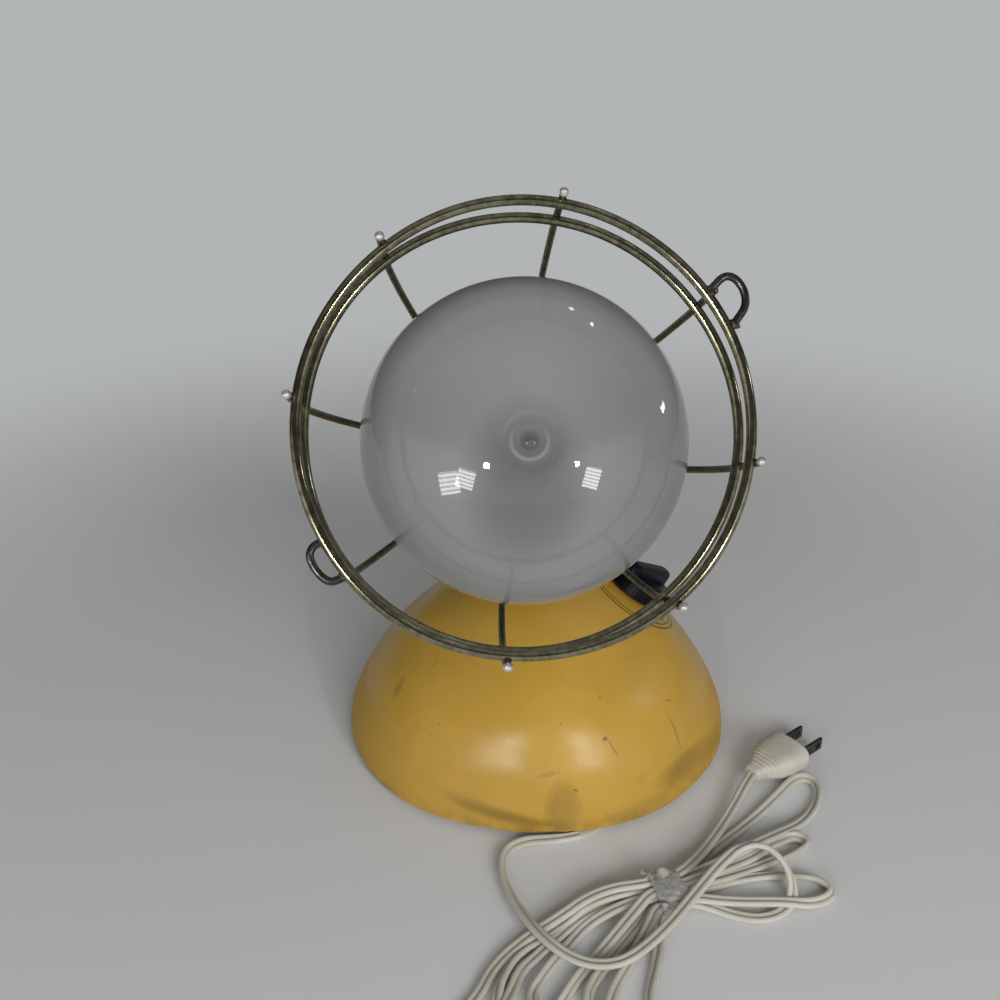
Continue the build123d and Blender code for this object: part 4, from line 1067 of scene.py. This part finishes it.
def rib_line(bearing, tip_stand):
    """Centre line of a rib from its tip, past the rings, in to the collar and along it."""
    corners = (
        (RIB_LINE, 0, FRONT_RING_S + tip_stand), (RIB_LINE, 0, RIB_BEND_S),
        (RIB_HEEL, 0, COLLAR_FRONT_S), (RIB_HEEL, 0, COLLAR_BACK_S),
    )
    line = rounded(corners, (RIB_BEND_RADIUS, RIB_HEEL_RADIUS))
    a = np.radians(bearing)
    return np.column_stack((line[:, 0] * np.cos(a), line[:, 0] * np.sin(a), line[:, 2]))


def make_rib(index, bearing):
    """Rib wire with its worn balled tip."""
    hidden_tip = index in LOOP_RIBS
    line = rib_line(bearing, -0.0008 if hidden_tip else TIP_STAND)
    a = np.radians(bearing)
    reference = to_lamp([(-np.sin(a), np.cos(a), 0)])[0] - PIVOT
    points, faces = wire(to_lamp(line), RIB_WIRE, sides=14, reference=reference)
    parts = [(points, faces)]
    if not hidden_tip:
        tip = line[0]
        ball, ball_faces = blob(tip, (TIP_RADIUS,) * 3, 300 + index, 12, 16, 0.10)
        parts.append((to_lamp(ball), ball_faces))
    rib = add_piece(f"rib_wire_{index + 1}", *joined(parts), "head", "brass", RIB_PLATE, 60.0)
    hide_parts(f"cage_rib_{index + 1}")


# Finger loops: points of the bent wire in the front ring's plane, across and up from the axis
FINGER_LOOPS = (
    (
        (0.0650, 0.0463), (0.0682, 0.0494), (0.0699, 0.0513), (0.0724, 0.0524), (0.0751, 0.0514),
        (0.0772, 0.0489), (0.0784, 0.0460), (0.0787, 0.0431), (0.0779, 0.0402),
        (0.0758, 0.0374), (0.0736, 0.0344),
    ),
    (
        (-0.0695, -0.0382), (-0.0729, -0.0389), (-0.0747, -0.0406), (-0.0754, -0.0430), (-0.0745, -0.0459),
        (-0.0724, -0.0492), (-0.0700, -0.0514), (-0.0676, -0.0522), (-0.0654, -0.0513), (-0.0630, -0.0499),
    ),
)


def softened(points, rounds=3):
    """Line through points with its corners cut a few times, its ends kept."""
    line = np.asarray(points, float)
    for _ in range(rounds):
        early, late = line[:-1] * 0.75 + line[1:] * 0.25, line[:-1] * 0.25 + line[1:] * 0.75
        line = np.vstack((line[:1], np.stack((early, late), 1).reshape(-1, line.shape[1]), line[-1:]))
    return line


def make_loop(number, corners):
    """D-shaped loop of dark wire in the front ring's plane, with a bead at each leg."""
    flat = softened(corners)
    line = evenly(np.column_stack((flat, np.full(len(flat), FRONT_RING_S))), 0.0005)
    points, faces = wire(to_lamp(line), LOOP_WIRE, sides=18, reference=AXIS)
    loop = add_piece(f"finger_loop_wire_{number}", points, faces, "head", "steel", PEWTER, 60.0)
    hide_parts(f"finger_loop_{number}")
    first, last = line[3], line[-3]
    beads = [
        blob(first, (0.0019, 0.0018, 0.0017), 40 + number, roughness=0.3),
        blob(line[0] * 0.3 + first * 0.7 + (0.0006, -0.0012, 0.0010), (0.0011, 0.0012, 0.0010), 60 + number),
        blob(last, (0.0017, 0.0018, 0.0016), 50 + number, roughness=0.3),
        blob(last + (0.0012, -0.0008, 0.0006), (0.0010, 0.0009, 0.0009), 70 + number),
    ]
    beads = [(to_lamp(ball), ball_faces) for ball, ball_faces in beads]
    add_piece(f"finger_loop_{number}_welds", *joined(beads), "head", "steel", WELD, 80.0)


make_ring("front_ring_wire", "cage_front_ring", RING_RADIUS, FRONT_RING_S, 1)
make_ring("rear_ring_wire", "cage_rear_ring", REAR_RING_RADIUS, REAR_RING_S, 2)
for index, bearing in enumerate(RIB_BEARINGS):
    make_rib(index, bearing)
for number, loop in enumerate(FINGER_LOOPS, 1):
    make_loop(number, loop)


# Timer knob

def outward(points, faces):
    """The same closed mesh with its faces turned outwards, told from the sign of its volume."""
    p = np.asarray(points)
    volume = sum(
        np.dot(p[f[0]], np.cross(p[f[i]], p[f[i + 1]])) for f in faces for i in range(1, len(f) - 1)
    )
    return points, (faces if volume > 0 else [tuple(f)[::-1] for f in faces])


def make_grip():
    """Bar across the knob: a slot outline stacked upwards, drawn in along a quarter circle on top."""
    a = np.linspace(0, np.pi / 2, 9)
    heights = np.concatenate(([KNOB_DISC_HEIGHT - 0.002], KNOB_HEIGHT - GRIP_ROUNDING * (1 - np.sin(a))))
    insets = np.concatenate(([-0.0003], GRIP_ROUNDING * (1 - np.cos(a))))
    turn = np.arange(GRIP_SIDES) * TURN / GRIP_SIDES
    shift = np.sign(np.cos(turn)) * (GRIP_HALF_LENGTH - GRIP_HALF_WIDTH)
    rings = []
    for height, inset in zip(heights, insets):
        radius = GRIP_HALF_WIDTH - inset
        length = radius * np.cos(turn) + shift
        width = radius * np.sin(turn) * (1 - 0.10 * bell(length, 0.006))
        rings.append(np.column_stack((length, width, np.full(GRIP_SIDES, KNOB_LIFT + height))))
    return np.concatenate(rings), tube_faces(len(rings), GRIP_SIDES)


def make_knob():
    """Knob turned about the timer's axis, its skirt faintly ribbed, with the bar across it."""
    top = KNOB_LIFT + KNOB_DISC_HEIGHT
    corner = (KNOB_TOP_RADIUS - KNOB_ROUNDING, top - KNOB_ROUNDING)
    profile = np.vstack((
        ((0.0, KNOB_LIFT + KNOB_RECESS + 0.0002), (KNOB_BORE, KNOB_LIFT + KNOB_RECESS)),
        (KNOB_BORE, KNOB_LIFT),
        ((KNOB_RADIUS - 0.0003, KNOB_LIFT), (KNOB_RADIUS, KNOB_LIFT + 0.0003)),
        (KNOB_RADIUS, KNOB_LIFT + 0.0016),
        arc(corner, KNOB_ROUNDING, 0.15, np.pi / 2, 8), ((0.0080, top + 0.0004), (0.0, top + 0.0005)),
    ))
    points, faces = turned(profile[:, 0], profile[:, 1], 12 * KNOB_RIBS)
    angle = np.arctan2(points[:, 1], points[:, 0])
    reach = np.hypot(points[:, 0], points[:, 1])
    skirt = (reach > 0.0135) * (points[:, 2] > KNOB_LIFT + 0.0010)
    points[:, :2] *= (1 - KNOB_RIB_DEPTH * skirt * (0.5 + 0.5 * np.cos(KNOB_RIBS * angle)))[:, None]
    centre, normal, level, slope = dial_frame()
    along = np.sin(GRIP_TURN) * level - np.cos(GRIP_TURN) * slope
    beside = np.cross(normal, along)
    placed = [
        (centre + p[:, :1] * along + p[:, 1:2] * beside + p[:, 2:3] * normal, f)
        for p, f in (outward(points, faces), outward(*make_grip()))
    ]
    knob = add_piece("timer_knob_turned", *joined(placed), "timer", "navy_moulding", NAVY, 35.0)
    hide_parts("timer_knob")


make_knob()


# Plug, tie and sleeve

PLUG_BACK = np.array((0.107, -0.058, 0.0077))
PLUG_BEARING = np.radians(40.0)
PLUG_SIDES = 56
PLUG_LENGTH = 0.031
# The plug's outline: distance from its back, half width and half height
PLUG_OUTLINE = (
    (0, 0.0042, 0.0030), (0.004, 0.0052, 0.0039), (0.013, 0.0102, 0.0060), (0.020, 0.0120, 0.0071),
    (PLUG_LENGTH, 0.0124, 0.0074),
)
TIE_POINT = np.array((0.0570, -0.1380, 0.0058))
TIE_BEARING = np.radians(22.0)
TIE_HALF_WIDTH = 0.0103
TIE_HALF_HEIGHT = 0.0053
TIE_LENGTH = 0.014
FILM_THICKNESS = 0.00018
TIE_TAIL_START = (0.0505, -0.1345, 0.0108)
# The film's tails: direction, length and seed
TIE_TAILS = (
    ((-0.25, 0.85, 0.30), 0.008, 3), ((0.85, 0.35, 0.25), 0.013, 5), ((-0.80, 0.30, 0.12), 0.006, 9),
)
TIE_WIRE_RADIUS = 0.00035
TIE_WIRE_END = np.array((
    (0.0500, -0.1475, 0.0095), (0.0515, -0.1490, 0.0105), (0.0535, -0.1492, 0.0112),
    (0.0555, -0.1490, 0.0108), (0.0575, -0.1500, 0.0098), (0.0590, -0.1515, 0.0085),
))
SLEEVE_LENGTH = 0.023
SLEEVE_SIDES = 36


def superellipse(half_width, half_height, power, count):
    """Rounded box outline: cosine and sine raised to 2 / power, with their signs kept."""
    a = np.arange(count) * TURN / count
    c, s = np.cos(a), np.sin(a)
    x = half_width * np.sign(c) * np.abs(c) ** (2 / power)
    y = half_height * np.sign(s) * np.abs(s) ** (2 / power)
    return x, y


def make_plug():
    """Moulded plug: rounded box outlines that widen from the cord, with finger ridges."""
    ahead = np.array((np.cos(PLUG_BEARING), np.sin(PLUG_BEARING), 0.0))
    aside = np.cross(ahead, UPRIGHT)
    s = np.concatenate(([0.0, 0.0002], np.linspace(0.0008, 0.0298, 88), [0.0304, 0.0308, PLUG_LENGTH]))
    stations, *outline = zip(*PLUG_OUTLINE)
    widths, heights = (
        np.convolve(np.pad(np.interp(s, stations, values), 4, mode="edge"), np.ones(9) / 9, "valid")
        for values in outline
    )
    ridges = 0.00035 * np.clip(np.sin((s - 0.003) / 0.0022 * TURN), 0, 1) * (s > 0.003) * (s < 0.0135)
    shrink = np.ones(len(s))
    shrink[:3] = (0.80, 0.90, 0.97)
    shrink[-3:] = (0.985, 0.96, 0.92)
    rings = []
    for station, width, height, ridge, share in zip(s, widths, heights, ridges, shrink):
        x, y = superellipse((width - ridge) * share, (height - ridge) * share, 3.2, PLUG_SIDES)
        rings.append(PLUG_BACK + station * ahead + x[:, None] * aside + y[:, None] * UPRIGHT)
    faces = [f[::-1] for f in tube_faces(len(s), PLUG_SIDES)]
    plug = add_piece("moulded_plug", np.concatenate(rings), faces, "base", "ivory_plug", PLUG, 40.0)
    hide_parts("plug_body")
    return plug


def make_tie():
    """Film wound round the bundle: a rounded box loop carried along it, puckered by waves, with
    three twisted tails; and the bare end of its wire."""
    along = np.array((np.cos(TIE_BEARING), np.sin(TIE_BEARING), 0.0))
    aside = np.cross(UPRIGHT, along)
    count, rows = 72, 22
    x, z = superellipse(TIE_HALF_WIDTH, TIE_HALF_HEIGHT, 3.0, count)
    a = np.arange(count) * TURN / count
    rings = []
    for t in np.linspace(0, 1, rows):
        waves = 1 + 0.035 * np.sin(5 * a + 7 * t) + 0.025 * np.sin(11 * a - 13 * t + 1.3)
        waves *= 1 - 0.10 * np.sin(np.pi * t)
        offset = (t - 0.5) * TIE_LENGTH + 0.0008 * np.sin(2 * a + 3 * t)
        ring = TIE_POINT + offset[:, None] * along
        ring = ring + (x * waves)[:, None] * aside + (z * waves)[:, None] * UPRIGHT
        ring[:, 2] = np.maximum(ring[:, 2], 0.0003)
        rings.append(ring)
    parts = [(np.concatenate(rings), grid_faces(rows, count))]
    parts += [tie_tail(*tail) for tail in TIE_TAILS]
    tie = add_piece("film_tie", *joined(parts), "base", "white_tie", FILM, 80.0)
    thick = tie.modifiers.new("thickness", "SOLIDIFY")
    thick.thickness = FILM_THICKNESS
    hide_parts("cord_tie")
    points, faces = wire(evenly(TIE_WIRE_END, 0.0004), TIE_WIRE_RADIUS, sides=10)
    add_piece("tie_wire_end", points, faces, "base", "steel", STEEL, 60.0)
    return tie


def tie_tail(direction, length, seed):
    """Twisted tail of the film: a narrow strip that turns about its own line."""
    d = np.asarray(direction, float)
    d /= np.linalg.norm(d)
    first = np.cross(d, UPRIGHT)
    first /= np.linalg.norm(first)
    second = np.cross(d, first)
    steps, columns = 26, 5
    t = np.linspace(0, 1, steps)
    turn = seed + 5.0 * t
    width = 0.0016 + 0.0012 * np.sin(np.pi * t) ** 2
    bend = 0.0015 * np.sin(2.2 * t + seed)
    line = np.asarray(TIE_TAIL_START) + (t * length)[:, None] * d + bend[:, None] * first
    line[:, 2] -= 0.004 * t**2
    side = np.cos(turn)[:, None] * first + np.sin(turn)[:, None] * second
    spread = np.linspace(-1, 1, columns)
    rows = line[:, None] + (spread[None, :] * width[:, None])[..., None] * side[:, None]
    return rows.reshape(-1, 3), grid_faces(steps, columns, wrap_columns=False)


plug = make_plug()
tie = make_tie()


def make_sleeve():
    """Tapered rubber sleeve where the cord leaves the bushing, along the cord's first stretch."""
    reached = np.cumsum(np.linalg.norm(np.diff(cord_path, axis=0), axis=1))
    line = evenly(cord_path[: int(np.searchsorted(reached, SLEEVE_LENGTH)) + 1], 0.0006)
    tangent, across, lift = frames_along(line)
    x, y = superellipse(1.0, 1.0, 2.6, SLEEVE_SIDES)
    t = np.linspace(0, 1, len(line))
    half_width = 0.0039 - 0.0009 * t
    half_height = 0.00150 - 0.00005 * t
    rings = line[:, None] + (half_width[:, None] * x)[..., None] * across[:, None]
    rings = rings + (half_height[:, None] * y)[..., None] * lift[:, None]
    rings[..., 2] = np.clip(rings[..., 2], 0.0001, 0.0030)
    faces = tube_faces(len(line), SLEEVE_SIDES)
    return add_piece("cord_sleeve", rings.reshape(-1, 3), faces, "base", "ivory_plug", PLUG, 60.0)


sleeve = make_sleeve()


# Finishes of the pieces that keep their CAD shape

FINISHES = {
    IRON: ("ballast_plate",),
    FELT: ("felt_pad",),
    PHENOLIC: ("cord_outlet_bushing", "lampholder_body", "lampholder_cap"),
    STEEL: (
        "centre_pipe", "pipe_nuts", "inner_saddle", "neck_washers", "timer_case", "timer_plate",
        "timer_spindle", "spring_washers", "cap_screws", "support_wires",
    ),
    DARK_BLADE: ("plug_blades",),
    PLATE: ("outer_saddle", "neck_nut", "neck_yoke", "tilt_screws", "cage_collar"),
    BRASS: (
        "timer_bushing", "timer_nut", "timer_jam_nut", "timer_terminals", "holder_screw_shell",
        "centre_contact", "bulb_screw_cap", "bulb_contact",
    ),
    CLEAR: ("bulb_stem", "arc_tube", "bulb_insulator"),
}
for material, names in FINISHES.items():
    for name in names:
        mesh = nodes[name].data
        mesh.materials.clear()
        mesh.materials.append(material)


# Stage and light

FILL = 0.175
ROOM_DIM = 0.08
ROOM_CEILING = 0.38
ROOM_FRONT = 0.80
PALE = (0.445, 0.458, 0.463)
FLOOR_HALF = 12.0
LIGHT_AIM = Vector((0.0, -0.06, 0.17))
# Name, place, size in metres and power, then turn in degrees, slats and whether gloss shows it
LIGHTS = (
    ("window_left_outer", (-0.792, -1.318, 0.352), (0.24, 0.26), 1.9, 18.0, 5),
    ("window_left_inner", (-0.621, -1.399, 0.430), (0.215, 0.22), 1.6, -8.0, 5),
    ("window_right", (0.822, -1.273, 0.405), (0.20, 0.24), 1.8, -24.0, 6),
    ("front_key", (0.55, -1.50, 0.80), (0.9, 0.7), 13.5, 0.0, 0, False),
    ("glint_left", (-0.387, -1.441, 0.619), (0.065, 0.065), 2.1),
    ("glint_right", (0.669, -1.323, 0.597), (0.055, 0.055), 1.9),
    ("glint_high", (0.478, 0.169, 1.553), (0.05, 0.04), 0.08),
    ("glint_high_right", (0.686, 0.046, 1.478), (0.05, 0.03), 0.07),
    ("streak_right", (1.360, -0.162, 0.701), (0.16, 0.07), 0.6),
)


def make_stage():
    """Plain pale floor that fades into the background's own colour away from the lamp."""
    mesh = bpy.data.meshes.new("floor")
    corners = [(x * FLOOR_HALF, y * FLOOR_HALF, 0) for x, y in ((-1, -1), (1, -1), (1, 1), (-1, 1))]
    mesh.from_pydata(corners, [], [(0, 1, 2, 3)])
    floor = bpy.data.objects.new("floor", mesh)
    bpy.context.scene.collection.objects.link(floor)
    s = Shader("pale_floor", (0.74, 0.745, 0.745), 0.9, Specular_IOR_Level=0.0)
    away = s.rise(s.vector("LENGTH", s.place), 0.22, 0.75)
    seen = s.mixed(away, s.surface.outputs[0], s.glow("Emission", PALE))
    s.feed(s.tree.nodes["Material Output"].inputs[0], seen)
    mesh.materials.append(s.material)


def make_world():
    """Even pale background to the eye; to glossy surfaces a dim room with a paler ceiling and a
    bright band low in front of the lamp; a weak even light to everything else."""
    world = bpy.data.worlds.new("studio")
    bpy.context.scene.world = world
    world.use_nodes = True
    w = Nodes(world.node_tree)
    direction = w.add("TexCoord").outputs["Generated"]
    towards_eye = w.along(direction, (0.03, -0.89, 0.45))
    side, depth, height = w.parts(direction)
    ceiling = w.rise(height, 0.45, 0.95, ROOM_DIM, ROOM_CEILING)
    facing = w.rise(w.times(depth, -1.0), 0.15, 0.60, 0.0, ROOM_FRONT)
    low = w.rise(height, 0.28, 0.44, 1.0, 0.0)
    beside = w.rise(towards_eye, 0.90, 0.975, 1.0, 0.2)
    strength = w.plus(ceiling, w.times(w.times(facing, low), beside))
    room = w.glow("Background", (0.8, 0.8, 0.8), strength)
    fill = w.glow("Background", (1.0, 1.0, 1.0), FILL)
    rays = w.add("LightPath").outputs
    eye = w.math("MAXIMUM", rays["Is Camera Ray"], rays["Is Transmission Ray"])
    unseen = w.mixed(rays["Is Glossy Ray"], fill, room)
    w.feed(w.tree.nodes["World Output"].inputs[0], w.mixed(eye, unseen, w.glow("Background", PALE)))


def add_light(name, place, size, power, turn=0.0, slats=0, seen_in_gloss=True):
    """Rectangular light aimed at the lamp, turned about its beam and striped by its slats."""
    data = bpy.data.lights.new(name, "AREA")
    data.shape = "RECTANGLE"
    data.size, data.size_y = size
    data.energy = power
    light = bpy.data.objects.new(name, data)
    bpy.context.scene.collection.objects.link(light)
    light.location = place
    light.rotation_mode = "QUATERNION"
    look = (LIGHT_AIM - Vector(place)).to_track_quat("-Z", "Y")
    light.rotation_quaternion = look @ Quaternion((0.0, 0.0, 1.0), np.radians(turn))
    light.visible_glossy = seen_in_gloss
    if slats:
        stripe(data, slats)


def stripe(data, slats):
    """Light strength that falls off in narrow stripes across the light's height."""
    data.use_nodes = True
    n = Nodes(data.node_tree)
    across, up = n.parts(n.add("NewGeometry").outputs["Parametric"])[:2]
    wave = n.math("SINE", n.times(up, TURN * slats))
    n.feed(n.tree.nodes["Emission"].inputs["Strength"], n.ramp(wave, -1.0, 0.2, 0.25, 1.15))


make_stage()
make_world()
for light in LIGHTS:
    add_light(*light)

bpy.context.scene.view_settings.view_transform = "Standard"
